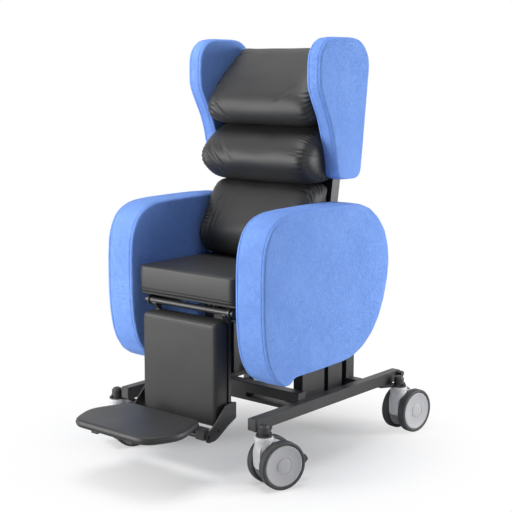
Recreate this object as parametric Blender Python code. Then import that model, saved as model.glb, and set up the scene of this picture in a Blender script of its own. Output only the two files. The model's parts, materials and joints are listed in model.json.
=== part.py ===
"""A care chair: a seat that tilts on a castored base, with a reclining back, wings and a leg rest.

Metres, +Z up. The chair faces -Y, and left is the left of the person in it, at +X. Places along Y are
counted from the front ends of the base rails, and the root empty sets the whole chair over its origin.
"""

import math

import bmesh
import bpy
from mathutils import Matrix, Vector

# Fits and roundness
GAP = 0.0003
RUNNING_GAP = 0.0012
SINK = 0.0025
OVERRUN = 0.006
MERGE = 0.000002
EDGE = 0.0015
ARC_STEP = math.radians(30)
ARC_SAG = 0.0009
WHEEL_SIDES = 24
ROUND_SIDES = 16
PIN_SIDES = 10
NUT_SIDES = 6

# Castors, measured from the floor and from the swivel's axis
WHEEL_RADIUS = 0.075
WHEEL_WIDTH = 0.0275
CASTOR_WIDTH = 0.0994
TYRE_DEPTH = 0.0108
TYRE_ROUND = 0.0030
HUB_STEP = 0.0008
HUB_CAP_RADIUS = 0.0245
HUB_CAP_STEP = 0.0008
AXLE_RADIUS = 0.006
TRAIL = 0.0427
HOUSING_RADIUS = 0.0288
HOUSING_TOP = 0.1624
HOUSING_DEPTH = 0.098
HOUSING_GROOVE = 0.0012
HOUSING_COLLAR = 0.011
WHEEL_CLEARANCE = 0.0015
PEDAL_WIDTH = 0.011
PEDAL_TREAD_WIDTH = 0.032
PEDAL_PIN_RADIUS = 0.0035
CASTORS = (
    ("front_left", 1, 0, 20.4),
    ("front_right", -1, 0, 20.4),
    ("rear_left", 1, 1, 7.2),
    ("rear_right", -1, 1, -20.4),
)

# Base rails, with the castors outboard of their ends
RAIL_TRACK = 0.5842
RAIL_WIDTH = 0.0326
RAIL_HEIGHT = 0.0374
RAIL_LENGTH = 0.790
RAIL_LIFT = 0.0080
RAIL_BOLT_RADIUS = 0.0105
RAIL_BOLT_LENGTH = 0.018
CAP_THICKNESS = 0.005
STEM_OFFSET = 0.0269
STEM_INSET = 0.0066
STEM_REAR_INSET = 0.0469
FLANGE_RADIUS = 0.0255
FLANGE_THICKNESS = 0.0050
SOCKET_RADIUS = 0.0175
SOCKET_HEIGHT = 0.033
NUT_RADIUS = 0.0050
NUT_HEIGHT = 0.0045
GUSSET_LENGTH = 0.070
GUSSET_WIDTH = 0.022
STEM_RADIUS = 0.008

# Cross beams of the base
FRONT_BEAM_SETBACK = 0.2495
FRONT_BEAM_DEPTH = 0.040
FRONT_BEAM_HEIGHT = 0.0608
BEAM_DROP = 0.0016
BEAM_SLOT_HEIGHT = 0.0145
BEAM_SLOT_RISE = 0.013
BEAM_SLOT_START = 0.040
BEAM_SLOT_MARGIN = 0.0195
REAR_BEAM_SETBACK = 0.572
REAR_BEAM_DEPTH = 0.036
REAR_BEAM_HEIGHT = 0.0359

# Side towers, folded from plate
TOWER_CLEARANCE = 0.0062
TOWER_DEPTH = 0.0375
TOWER_PLATE = 0.003
TOWER_FOOT = 0.0150
TOWER_SETBACK = 0.0825
TOWER_FRONT_POST = 0.1185
TOWER_FRONT_GROOVE = 0.0218
TOWER_MIDDLE_POST = 0.0781
TOWER_REAR_GROOVE = 0.0257
TOWER_REAR_POST = 0.0443
TOWER_GROOVE_DEPTH = 0.026
TOWER_HEIGHT = 0.281
TOWER_TAIL_HEIGHT = 0.170
TILT_PIN_RADIUS = 0.008
TILT_PIN_SETBACK = 0.060
TILT_BOSS_RADIUS = 0.014

# Seat frame
SEAT_RISE = 0.0526
SEAT_RAIL_CLEARANCE = 0.0055
SEAT_RAIL_WIDTH = 0.020
SEAT_RAIL_HEIGHT = 0.0367
SEAT_RAIL_START = 0.052
SEAT_RAIL_END = 0.492
PIVOT_PLATE = 0.006
PIVOT_RING = 0.020
PIVOT_PLATE_SPREAD = 0.055
CROSS_BAR = 0.025
FRONT_BAR_RADIUS = 0.010
FRONT_BAR_SETBACK = 0.060
FRONT_BAR_DROP = 0.008
STRUT_BAR_SETBACK = 0.200
REAR_BAR_SETBACK = 0.400
OUTRIGGER = 0.020
OUTRIGGER_FRONT = 0.110
OUTRIGGER_REAR = 0.280
ARM_PLATE = 0.0062
ARM_PLATE_LENGTH = 0.235
ARM_PLATE_HEIGHT = 0.080
PAN_INSET = 0.002
PAN_THICKNESS = 0.0085
PAN_FRONT = 0.012
PAN_REAR = 0.424

# Seat cushion and arms
CUSHION_WIDTH = 0.404
CUSHION_HEIGHT = 0.0815
CUSHION_REAR = 0.420
CUSHION_CORNER = 0.016
CUSHION_ROUND = 0.012
CUSHION_DRAW = 0.003
CUSHION_CROWN = 0.004
CROWN_INSET = 0.050
ARM_CLEARANCE = 0.0172
ARM_THICKNESS = 0.1124
ARM_LENGTH = 0.655
ARM_HEIGHT = 0.531
ARM_OVERHANG = 0.0125
ARM_DROP = 0.2464
ARM_ROUND = 0.007
ARM_CROWN = 0.003

# Back
BACK_LEAN = math.radians(9.2)
POST_CLEARANCE = 0.0057
POST_WIDTH = 0.0245
POST_DEPTH = 0.040
POST_LENGTH = 0.790
RECLINE_SETBACK = 0.4422
RECLINE_DROP = 0.0237
BACK_BAR = 0.025
LOWER_BAR_SHARE = 0.115
UPPER_BAR_SHARE = 0.80
LEVER_REACH = 0.071
BOARD_CLEARANCE = 0.001
BOARD_THICKNESS = 0.012
BOARD_START = 0.150
BOARD_RISE = 0.025
WING_BLOCK_LENGTH = 0.090
WING_BLOCK_DROPS = (0.330, 0.130)

# Pillows: heights are above the seat cushion, depths in front of the back board
LUMBAR_SIDE_GAP = 0.0052
MIDDLE_OVERHANG = 0.003
HEAD_SIDE_GAP = 0.001
PILLOW_GAP = 0.0012
LUMBAR_HEIGHT = 0.269
MIDDLE_HEIGHT = 0.194
HEAD_HEIGHT = 0.232
LUMBAR_DEPTH = 0.185
MIDDLE_DEPTH = 0.192
HEAD_DEPTH = 0.205
PILLOW_END_SHARE = 0.84
PILLOW_TAPER = 0.05
PILLOW_RISE_SHARE = 0.35

# Wings
WING_CLEARANCE = 0.0115
WING_THICKNESS = 0.053
WING_DEPTH = 0.276
WING_HEIGHT = 0.452
WING_LIFT = 0.3885
WING_SETBACK = 0.3238
WING_ROUND = 0.007
WING_CROWN = 0.002

# Leg rest
LEG_PIVOT_SETBACK = 0.022
LEG_PIVOT_DROP = 0.0187
LEG_BAR_RADIUS = 0.010
LEG_BAR_END = 0.017
LEG_RING = 0.0145
LEG_BEARING = 0.008
LEG_SIDE_WIDTH = 0.017
LEG_SIDE_DEPTH = 0.012
LEG_LENGTH = 0.330
LEG_FOOT_HEIGHT = 0.046
LEG_PANEL = 0.004
PAD_WIDTH = 0.314
PAD_HEIGHT = 0.326
PAD_THICKNESS = 0.058
PAD_OVERHANG = 0.028
PAD_DROP = 0.028
PAD_CORNER = 0.010
PAD_ROUND = 0.011
PAD_CROWN = 0.002
LINK_CLEARANCE = 0.016
LINK_THICKNESS = 0.005
LINK_REACH = 0.1205
LINK_RISE = 0.0865

# Footplate
FOOT_PIVOT_DROP = 0.0838
FOOT_TUBE_RADIUS = 0.0105
FOOT_PIN_RADIUS = 0.005
FOOT_NUT_RADIUS = 0.008
FOOT_NUT_HEIGHT = 0.004
FOOT_WIDTH = 0.404
FOOT_LENGTH = 0.240
FOOT_THICKNESS = 0.024
FOOT_RISE = 0.0293
FOOT_START = -0.0144
FOOT_EDGE_ROUND = 0.009
FOOT_CROWN = 0.0008
FOOT_ARM_WIDTH = 0.025
FOOT_ARM_THICKNESS = 0.009
FOOT_ARM_LENGTH = 0.240
FOOT_ARM_TRACK = 0.150
FOOT_BLOCK_WIDTH = 0.034

# Struts
STRUT_RADIUS = 0.011
STRUT_ROD_RADIUS = 0.005
STRUT_EYE_RADIUS = 0.0115
STRUT_EYE_WIDTH = 0.013
STRUT_PIN_RADIUS = 0.004
STRUT_PLAY = 0.0036
STRUT_NECK = 0.015
STRUT_WALL = 0.010
LUG_THICKNESS = 0.005
LUG_RADIUS = 0.011
TILT_STRUT_X = 0.0
TILT_STRUT_BODY = 0.190
TILT_STROKE = 0.046
TILT_LUG_REACH = 0.025
TILT_LUG_RISE = 0.0434
TILT_LEVER_REACH = 0.160
TILT_LEVER_DROP = 0.066
RECLINE_STRUT_X = -0.060
RECLINE_STRUT_BODY = 0.150
RECLINE_STROKE = 0.044
RECLINE_LUG_DROP = 0.042
LEG_STRUT_X = 0.060
LEG_STRUT_BODY = 0.185
LEG_LUG_DROP = 0.067
LEG_LUG_REACH = 0.040
LEG_LEVER_REACH = 0.075
LEG_LEVER_TURN = math.radians(45)

# Outlines as shares: of the length, of the height, and the corner's radius as a share of the height
ARM_OUTLINE_SHARES = (
    (0.0, 0.992, 0.292),
    (0.0, 0.267, 0.470),
    (0.094, 0.0, 0.190),
    (0.2105, 0.0, 0.0113),
    (0.2196, 0.0368, 0.0150),
    (0.7725, 0.0368, 0.2825),
    (1.009, 0.467, 0.358),
    (0.977, 1.0, 0.348),
)
WING_OUTLINE_SHARES = (
    (0.0, 0.996, 0.265),
    (0.0, 0.651, 0.175),
    (0.243, 0.371, 0.440),
    (0.368, 0.004, 0.077),
    (0.811, 0.0, 0.066),
    (1.0, 1.0, 0.197),
)
LINK_OUTLINE_SHARES = (
    (0.638, 1.0, 0.116),
    (0.170, 0.370, 0.690),
    (-0.150, 0.130, 0.170),
    (-0.135, -0.190, 0.170),
    (0.230, -0.179, 0.350),
    (0.689, 0.208, 0.230),
    (1.0, 0.416, 0.070),
    (1.0, 1.0, 0.035),
)
FOOT_OUTLINE_SHARES = (
    (0.752, 0.0, 0.09),
    (1.0, 0.556, 0.37),
    (0.764, 1.0, 0.206),
)
HOUSING_WEB_SHARES = (
    (-0.92, 0.96, 0.0),
    (-0.92, -0.16, 0.0),
    (0.0, -0.26, 0.20),
    (0.70, -0.04, 0.16),
    (0.93, 0.34, 0.10),
    (0.84, 0.57, 0.16),
    (0.42, 0.70, 0.50),
    (0.0, 0.96, 0.0),
)
PEDAL_SHARES = (
    (0.62, 0.12, 0.04),
    (1.00, 0.08, 0.06),
    (1.16, -0.14, 0.04),
    (1.27, -0.19, 0.04),
    (1.41, -0.03, 0.08),
    (1.27, 0.17, 0.08),
    (1.06, 0.27, 0.06),
    (0.62, 0.32, 0.04),
)
PEDAL_TREAD_SHARES = (
    (1.10, 0.02, 0.0),
    (1.16, -0.14, 0.04),
    (1.27, -0.19, 0.04),
    (1.41, -0.03, 0.08),
    (1.27, 0.17, 0.08),
    (1.06, 0.27, 0.0),
)
PEDAL_PIVOT_SHARES = (0.72, 0.22)
PEDAL_SLOT_SHARES = ((0.54, -0.30), (1.0, 0.40))
LUMBAR_SHARES = ((0.72, 0.0, 0.16), (1.02, 0.26, 0.38), (0.70, 0.93, 0.14), (0.0, 1.0, 0.05),
                 (0.0, 0.0, 0.05))
MIDDLE_SHARES = ((0.68, -0.08, 0.22), (1.10, 0.20, 0.36), (0.62, 0.93, 0.16), (0.0, 1.0, 0.05),
                 (0.0, 0.0, 0.05))
HEAD_SHARES = ((0.72, -0.055, 0.14), (1.05, 0.19, 0.24), (0.23, 1.0, 0.06), (0.0, 0.97, 0.03),
               (0.0, 0.0, 0.05))
PILLOW_STATION_SHARES = (0.0, 0.45, 0.75, 0.90, 0.97, 1.0)

# Heights and half widths worked out from the sizes above
cushion_half = CUSHION_WIDTH / 2
pan_half = cushion_half - PAN_INSET
arm_inner = cushion_half + ARM_CLEARANCE
tower_outer = arm_inner - TOWER_CLEARANCE
seat_outer = tower_outer - TOWER_DEPTH - SEAT_RAIL_CLEARANCE
post_outer = arm_inner - POST_CLEARANCE
board_half = post_outer - POST_WIDTH - BOARD_CLEARANCE
wing_inner = post_outer + WING_CLEARANCE
pad_half = PAD_WIDTH / 2
link_inner = pad_half + LINK_CLEARANCE
leg_bar_half = seat_outer + LEG_BAR_END
rail_outer = RAIL_TRACK / 2
rail_inner = rail_outer - RAIL_WIDTH
rail_bottom = HOUSING_TOP + RAIL_LIFT
rail_top = rail_bottom + RAIL_HEIGHT
stem_x = rail_outer + STEM_OFFSET
stem_places = (STEM_INSET, RAIL_LENGTH - STEM_REAR_INSET)
beam_bottom = rail_bottom - BEAM_DROP
front_beam_rear = FRONT_BEAM_SETBACK + FRONT_BEAM_DEPTH
tower_front = FRONT_BEAM_SETBACK + TOWER_SETBACK
tower_posts = (TOWER_FRONT_POST, TOWER_FRONT_GROOVE, TOWER_MIDDLE_POST, TOWER_REAR_GROOVE, TOWER_REAR_POST)
tower_rear = tower_front + sum(tower_posts)
rear_beam_rear = REAR_BEAM_SETBACK + REAR_BEAM_DEPTH
tower_inner = tower_outer - TOWER_DEPTH
tower_foot_top = rail_bottom + TOWER_FOOT
tower_top = tower_foot_top + TOWER_HEIGHT
tilt_y = tower_front + TILT_PIN_SETBACK
tilt_z = tower_top - TILT_BOSS_RADIUS * 1.5
seat_bottom = tilt_z + SEAT_RISE
seat_top = seat_bottom + SEAT_RAIL_HEIGHT
seat_inner = seat_outer - SEAT_RAIL_WIDTH
pan_bottom = seat_top + GAP
pan_top = pan_bottom + PAN_THICKNESS
cushion_bottom = pan_top + GAP
cushion_top = cushion_bottom + CUSHION_HEIGHT
arm_bottom = cushion_bottom - ARM_DROP
recline_y = RECLINE_SETBACK
recline_z = seat_top - RECLINE_DROP
post_inner = post_outer - POST_WIDTH
leg_y = LEG_PIVOT_SETBACK
leg_z = seat_top - LEG_PIVOT_DROP
leg_front = PAD_THICKNESS - PAD_OVERHANG + GAP
leg_rear = leg_front + LEG_SIDE_DEPTH
leg_bottom = leg_z - LEG_LENGTH
pad_top = leg_z - PAD_DROP
foot_y = leg_rear - LINK_REACH
foot_z = leg_bottom + LEG_FOOT_HEIGHT - FOOT_PIVOT_DROP
web_half = CASTOR_WIDTH / 2 - WHEEL_WIDTH - WHEEL_CLEARANCE
hub_radius = WHEEL_RADIUS - TYRE_DEPTH - GAP


# Shapes: each function returns a closed bmesh in chair places
def rounded(corners):
    """Points of an outline whose (u, v, radius) corners are arcs, held within half of each side."""
    outline = []
    for index, (u, v, radius) in enumerate(corners):
        corner = Vector((u, v))
        before = Vector(corners[index - 1][:2]) - corner
        after = Vector(corners[(index + 1) % len(corners)][:2]) - corner
        half = before.angle(after) / 2
        reach = min(radius / math.tan(half), before.length * 0.49, after.length * 0.49)
        if reach <= 0:
            outline.append(corner)
            continue
        middle = corner + (before.normalized() + after.normalized()).normalized() * reach / math.cos(half)
        start = corner + before.normalized() * reach - middle
        end = corner + after.normalized() * reach - middle
        sweep = math.atan2(start.cross(end), start.dot(end))
        step = min(ARC_STEP, 2 * math.acos(max(0.5, 1 - ARC_SAG / start.length)))
        steps = max(1, round(abs(sweep) / step))
        outline += [middle + Matrix.Rotation(sweep * k / steps, 2) @ start for k in range(steps + 1)]
    return outline


def placed(outline, level, axis):
    """An outline's points in space, at a level along the axis that it faces."""
    orders = {
        "X": lambda p: (level, p[0], p[1]),
        "Y": lambda p: (p[0], level, p[1]),
        "Z": lambda p: (p[0], p[1], level),
    }
    return [Vector(orders[axis](point)) for point in outline]


def loft(rings):
    """Rings of equal counts joined by faces, with both ends capped."""
    bm = bmesh.new()
    rows = [[bm.verts.new(point) for point in ring] for ring in rings]
    for near, far in zip(rows, rows[1:]):
        for k in range(len(near)):
            after = (k + 1) % len(near)
            bm.faces.new((near[k], near[after], far[after], far[k]))
    bm.faces.new(rows[0])
    bm.faces.new(rows[-1])
    bmesh.ops.recalc_face_normals(bm, faces=bm.faces)
    return bm


def plate(outline, low, high, axis="X"):
    """A flat plate: an outline run from low to high along the axis."""
    return loft([placed(outline, low, axis), placed(outline, high, axis)])


def box(low, high, bevel=0.0):
    """A box between two corners, with its edges bevelled where a bevel is given."""
    outline = [(low[0], low[1]), (high[0], low[1]), (high[0], high[1]), (low[0], high[1])]
    bm = plate(outline, low[2], high[2], "Z")
    if bevel > 0:
        bmesh.ops.bevel(bm, geom=bm.edges, offset=bevel, segments=1, affect="EDGES")
    return bm


def circle(centre, radius, sides=ROUND_SIDES):
    """Points of a circle in an outline's plane, with one straight below its centre."""
    turns = [math.tau * k / sides - math.pi / 2 for k in range(sides)]
    return [Vector((centre[0] + radius * math.cos(t), centre[1] + radius * math.sin(t))) for t in turns]


def disc(centre, radius, low, high, axis="X", sides=ROUND_SIDES):
    """A round bar or disc along an axis."""
    return plate(circle(centre, radius, sides), low, high, axis)


def hole(centre, radius, low, high, axis="X", play=GAP, sides=PIN_SIDES):
    """A cutter for the hole of a round pin, whose flats clear the pin by the play."""
    return disc(centre, (radius + play) / math.cos(math.pi / sides), low, high, axis, sides)


def turned(profile, centre, sides, closed=False):
    """A profile of (x, radius) points turned about the X axis through centre, a ring where it is closed."""
    bm = bmesh.new()
    points = [bm.verts.new((x, centre[0], centre[1] - radius)) for x, radius in profile]
    runs = zip(points, points[1:] + points[:1]) if closed else zip(points, points[1:])
    edges = [bm.edges.new(run) for run in runs]
    middle = (0, centre[0], centre[1])
    bmesh.ops.spin(bm, geom=points + edges, cent=middle, axis=(1, 0, 0), angle=math.tau, steps=sides)
    bmesh.ops.remove_doubles(bm, verts=bm.verts, dist=MERGE)
    bmesh.ops.recalc_face_normals(bm, faces=bm.faces)
    return bm


def inset(outline, distance):
    """An outline drawn in by a distance along the normals of its points."""
    points = [Vector(point) for point in outline]
    area = sum(a.cross(b) for a, b in zip(points, points[1:] + points[:1]))
    side = 1 if area > 0 else -1
    drawn = []
    for index, point in enumerate(points):
        before = (point - points[index - 1]).normalized()
        after = (points[(index + 1) % len(points)] - point).normalized()
        along = (before + after).normalized()
        stretch = max(abs(along.dot(before)), 0.5)
        drawn.append(point + Vector((-along.y, along.x)) * side * distance / stretch)
    return drawn


def shrunk(outline, distance):
    """An outline scaled about its middle so that it is drawn in by about a distance."""
    middle = sum((Vector(point) for point in outline), Vector((0, 0))) / len(outline)
    reach = min((Vector(point) - middle).length for point in outline)
    return [middle + (Vector(point) - middle) * (1 - distance / reach) for point in outline]


def upholstered(outline, low, high, axis, edge, crowns=(0.0, 0.0), draw=0.0, crown_inset=CROWN_INSET):
    """A padded board: round edges, sides drawn in towards the faces, and crowned faces."""
    turns = (0, math.pi / 4, math.pi / 2)
    corners = [(draw + edge * (1 - math.cos(t)), edge * (1 - math.sin(t))) for t in turns]
    faces = corners[::-1]
    rings = []
    if crowns[0] > 0:
        rings.append(placed(shrunk(inset(outline, draw + edge), crown_inset), low - crowns[0], axis))
    rings += [placed(inset(outline, draw_in), low + depth, axis) for draw_in, depth in faces]
    rings.append(placed(outline, (low + high) / 2, axis))
    rings += [placed(inset(outline, draw_in), high - depth, axis) for draw_in, depth in corners]
    if crowns[1] > 0:
        rings.append(placed(shrunk(inset(outline, draw + edge), crown_inset), high + crowns[1], axis))
    return loft(rings)


def pillow(section, half):
    """A waterfall pillow: a section run across the chair, with rounded ends that narrow towards the rear."""
    middle = sum(section, Vector((0, 0))) / len(section)
    front = min(point.x for point in section)
    depth = max(point.x for point in section) - front
    stations = [-share for share in reversed(PILLOW_STATION_SHARES)] + list(PILLOW_STATION_SHARES[1:])
    rings = []
    for share in stations:
        scale = PILLOW_END_SHARE + (1 - PILLOW_END_SHARE) * math.sqrt(1 - min(1, share**4))
        rise = 1 - (1 - scale) * PILLOW_RISE_SHARE
        ring = [middle + (point - middle) * Vector((scale, rise)) for point in section]
        narrowing = [1 - PILLOW_TAPER * (point.x - front) / depth for point in ring]
        rings.append([Vector((share * half * k, point.x, point.y)) for k, point in zip(narrowing, ring)])
    return loft(rings)


def combined(body, operation, others):
    """A solid joined with, or cut by, other solids one after another."""
    for other in others:
        meshes = [bpy.data.meshes.new("solid"), bpy.data.meshes.new("tool")]
        objects = [bpy.data.objects.new(mesh.name, mesh) for mesh in meshes]
        for bm, mesh, piece in zip((body, other), meshes, objects):
            bm.to_mesh(mesh)
            bm.free()
            bpy.context.scene.collection.objects.link(piece)
        modifier = objects[0].modifiers.new(operation, "BOOLEAN")
        modifier.operation = operation
        modifier.solver = "EXACT"
        modifier.object = objects[1]
        result = objects[0].evaluated_get(bpy.context.evaluated_depsgraph_get()).to_mesh()
        body = bmesh.new()
        body.from_mesh(result)
        bmesh.ops.remove_doubles(body, verts=body.verts, dist=MERGE)
        for piece, mesh in zip(objects, meshes):
            bpy.data.objects.remove(piece)
            bpy.data.meshes.remove(mesh)
    return body


def joined(body, *others):
    return combined(body, "UNION", others)


def cut(body, *others):
    return combined(body, "DIFFERENCE", others)


def moved(bm, matrix):
    bmesh.ops.transform(bm, matrix=matrix, verts=bm.verts)
    return bm


def mirrored(bm, side):
    """The same solid on the left for side 1, and its mirror image on the right for side -1."""
    if side < 0:
        bmesh.ops.scale(bm, vec=(-1, 1, 1), verts=bm.verts)
        bmesh.ops.reverse_faces(bm, faces=bm.faces)
    return bm


# Objects and materials
def material(name, colour, roughness, metallic=0.0):
    made = bpy.data.materials.new(name)
    made.use_nodes = True
    surface = made.node_tree.nodes["Principled BSDF"]
    surface.inputs["Base Color"].default_value = (*colour, 1.0)
    surface.inputs["Roughness"].default_value = roughness
    surface.inputs["Metallic"].default_value = metallic
    return made


def empty(name, location, turn=0.0, parent=None):
    marker = bpy.data.objects.new(name, None)
    marker.location = location
    marker.rotation_euler.z = turn
    marker.parent = parent
    bpy.context.scene.collection.objects.link(marker)
    return marker


def piece(name, bm, look, parent, origin=(0.0, 0.0, 0.0)):
    """An object from a solid, with its own origin, which lies on the axis of a moving piece."""
    bmesh.ops.translate(bm, verts=bm.verts, vec=-Vector(origin))
    mesh = bpy.data.meshes.new(name)
    bm.to_mesh(mesh)
    bm.free()
    mesh.shade_smooth()
    mesh.set_sharp_from_angle(angle=math.radians(35))
    mesh.materials.append(look)
    made = bpy.data.objects.new(name, mesh)
    made.location = origin
    made.parent = parent
    bpy.context.scene.collection.objects.link(made)
    return made


for old in list(bpy.data.objects):
    bpy.data.objects.remove(old)

STEEL = material("black_powder_coat", (0.022, 0.022, 0.024), 0.45, 0.3)
PLASTIC = material("grey_plastic", (0.46, 0.46, 0.49), 0.42)
TYRE = material("grey_tyre", (0.045, 0.046, 0.048), 0.6)
BLUE = material("blue_upholstery", (0.13, 0.30, 0.86), 0.8)
VINYL = material("black_vinyl", (0.022, 0.022, 0.024), 0.42)
CHROME = material("strut_rod", (0.6, 0.6, 0.62), 0.2, 1.0)
BOARD = material("board", (0.05, 0.05, 0.05), 0.7)


# Castors: a housing that trails its twin wheels, which share one axle, and a brake pedal at the rear
def castor_point(shares):
    """A point in the castor's own upright plane, as shares of the wheel's radius from the axle."""
    return (TRAIL + shares[0] * WHEEL_RADIUS, WHEEL_RADIUS * (1 + shares[1]))


def castor_outline(table):
    return rounded([(*castor_point(row), row[2] * WHEEL_RADIUS) for row in table])


def castor_housing():
    axle = (TRAIL, WHEEL_RADIUS)
    low = HOUSING_TOP - HOUSING_DEPTH
    groove_top = HOUSING_TOP - HOUSING_COLLAR
    groove_low = groove_top - HOUSING_COLLAR / 3
    neck = HOUSING_RADIUS - HOUSING_GROOVE
    levels = ((low, HOUSING_RADIUS * 0.94), (groove_low, neck), (groove_top, neck),
              (groove_top + HOUSING_GROOVE, HOUSING_RADIUS), (HOUSING_TOP - HOUSING_GROOVE, HOUSING_RADIUS),
              (HOUSING_TOP, neck))
    head = loft([placed(circle((0, 0), radius, ROUND_SIDES), level, "Z") for level, radius in levels])
    wheel_room = WHEEL_RADIUS + WHEEL_CLEARANCE
    rooms = [disc(axle, wheel_room, side * (web_half), side * (CASTOR_WIDTH + OVERRUN), sides=WHEEL_SIDES)
             for side in (-1, 1)]
    web = plate(castor_outline(HOUSING_WEB_SHARES), -web_half, web_half)
    body = joined(cut(head, *rooms), web)
    slot_half = PEDAL_WIDTH / 2 + RUNNING_GAP
    slot_ends = [castor_point(shares) for shares in PEDAL_SLOT_SHARES]
    slot = box((-slot_half, *slot_ends[0]), (slot_half, *slot_ends[1]))
    reach = web_half + OVERRUN
    pin_hole = hole(castor_point(PEDAL_PIVOT_SHARES), PEDAL_PIN_RADIUS, -reach, reach)
    axle_hole = hole(axle, AXLE_RADIUS, -reach, reach)
    stem_hole = hole((0, 0), STEM_RADIUS, HOUSING_TOP - HOUSING_COLLAR, HOUSING_TOP + OVERRUN, "Z")
    return cut(body, slot, pin_hole, axle_hole, stem_hole)


def wheel_hubs():
    """Both wheel bodies on their axle, turned as one."""
    face = CASTOR_WIDTH / 2 - HUB_STEP
    inner = CASTOR_WIDTH / 2 - WHEEL_WIDTH + HUB_STEP
    half = [(inner, AXLE_RADIUS), (inner, hub_radius), (face, hub_radius)]
    cap_face = face - HUB_CAP_STEP
    half += [(face, HUB_CAP_RADIUS + HUB_CAP_STEP), (cap_face, HUB_CAP_RADIUS), (cap_face, 0)]
    profile = [(-x, radius) for x, radius in reversed(half)] + half
    return turned(profile, (TRAIL, WHEEL_RADIUS), WHEEL_SIDES)


def tyre(side):
    outer = CASTOR_WIDTH / 2
    inner = outer - WHEEL_WIDTH
    bore = WHEEL_RADIUS - TYRE_DEPTH
    profile = [(inner, bore), (inner, WHEEL_RADIUS - TYRE_ROUND), (inner + TYRE_ROUND, WHEEL_RADIUS),
               (outer - TYRE_ROUND, WHEEL_RADIUS), (outer, WHEEL_RADIUS - TYRE_ROUND), (outer, bore)]
    profile = [(side * x, radius) for x, radius in profile]
    return turned(profile, (TRAIL, WHEEL_RADIUS), WHEEL_SIDES, closed=True)


def brake_pedal():
    lever = plate(castor_outline(PEDAL_SHARES), -PEDAL_WIDTH / 2, PEDAL_WIDTH / 2)
    tread = plate(castor_outline(PEDAL_TREAD_SHARES), -PEDAL_TREAD_WIDTH / 2, PEDAL_TREAD_WIDTH / 2)
    pin_half = web_half - EDGE
    pin = disc(castor_point(PEDAL_PIVOT_SHARES), PEDAL_PIN_RADIUS, -pin_half, pin_half, sides=PIN_SIDES)
    return joined(lever, tread, pin)


def castor(name, side, end, degrees, chair):
    """One castor, turned so that it trails by some degrees from straight back."""
    place = (side * stem_x, stem_places[end], 0)
    swivel = empty(f"castor_{name}", place, -math.radians(degrees), chair)
    axle = (0, TRAIL, WHEEL_RADIUS)
    piece(f"castor_{name}_housing", castor_housing(), PLASTIC, swivel)
    piece(f"castor_{name}_wheel_hubs", wheel_hubs(), PLASTIC, swivel, axle)
    piece(f"castor_{name}_tyre_outer", tyre(side), TYRE, swivel, axle)
    piece(f"castor_{name}_tyre_inner", tyre(-side), TYRE, swivel, axle)
    piece(f"castor_{name}_brake_pedal", brake_pedal(), TYRE, swivel, (0, *castor_point(PEDAL_PIVOT_SHARES)))


# Base: two rails with castor sockets outboard of their ends, tied by a front and a rear beam
def castor_socket(y, inward):
    """Flange, domed socket and stem over one castor, with a gusset along the rail's foot."""
    flange_low = HOUSING_TOP + GAP
    socket_low = flange_low + FLANGE_THICKNESS
    flange = disc((stem_x, y), FLANGE_RADIUS, flange_low, socket_low, "Z")
    dome = ((socket_low - EDGE, 1.0), (socket_low + SOCKET_HEIGHT * 0.7, 1.0),
            (socket_low + SOCKET_HEIGHT * 0.9, 0.75), (socket_low + SOCKET_HEIGHT, 0.3))
    socket = loft([placed(circle((stem_x, y), SOCKET_RADIUS * share), level, "Z") for level, share in dome])
    reach = (FLANGE_RADIUS + SOCKET_RADIUS) / 2
    turns = (math.radians(20), math.radians(90), math.radians(160))
    nuts = [disc((stem_x + reach * math.sin(t), y + reach * math.cos(t)), NUT_RADIUS, socket_low - EDGE,
                 socket_low + NUT_HEIGHT, "Z", NUT_SIDES) for t in turns]
    stem_low = HOUSING_TOP - HOUSING_COLLAR + GAP
    stem = disc((stem_x, y), STEM_RADIUS, stem_low, flange_low + EDGE, "Z", PIN_SIDES)
    start = y + inward * (CAP_THICKNESS + EDGE)
    tail = y + inward * GUSSET_LENGTH
    outline = [(stem_x, start), (rail_outer + GUSSET_WIDTH, y + inward * GUSSET_LENGTH / 2),
               (rail_outer + EDGE, tail), (rail_outer - GUSSET_WIDTH, tail), (rail_outer - GUSSET_WIDTH, start)]
    gusset = plate(outline, flange_low + EDGE, rail_bottom + EDGE, "Z")
    return [flange, socket, stem, gusset, *nuts]


def rail_cap(side):
    """The plastic plug that closes a rail's front end."""
    body = box((rail_inner, 0, rail_bottom), (rail_outer, CAP_THICKNESS, rail_top), EDGE)
    return mirrored(body, side)


def base_rail(side):
    tube = box((rail_inner, CAP_THICKNESS + GAP, rail_bottom), (rail_outer, RAIL_LENGTH, rail_top), EDGE)
    sockets = castor_socket(stem_places[0], 1) + castor_socket(stem_places[1], -1)
    bolt_place = (RAIL_LENGTH - RAIL_BOLT_RADIUS, rail_top - RAIL_BOLT_RADIUS)
    bolt = disc(bolt_place, RAIL_BOLT_RADIUS, rail_outer - SINK, rail_outer + RAIL_BOLT_LENGTH, sides=NUT_SIDES)
    return mirrored(joined(tube, bolt, *sockets), side)


def lug(x, outline):
    """A pair of lug plates, one each side of a strut's eye at x."""
    inner = STRUT_EYE_WIDTH / 2 + GAP
    outer = inner + LUG_THICKNESS
    return [plate(outline, x + side * inner, x + side * outer) for side in (-1, 1)]


def lug_outline(pivot, root_low, root_high):
    """A lug's outline: round at the pivot, and running to two points on the bar that carries it."""
    pivot = Vector(pivot)
    along = ((Vector(root_low) + Vector(root_high)) / 2 - pivot).normalized()
    across = Vector((-along.y, along.x)) * LUG_RADIUS
    if across.dot(Vector(root_high) - Vector(root_low)) < 0:
        across = -across
    tip = pivot - along * LUG_RADIUS
    corners = [(*root_low, 0), (*(tip - across), LUG_RADIUS), (*(tip + across), LUG_RADIUS), (*root_high, 0)]
    return rounded(corners)


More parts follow.
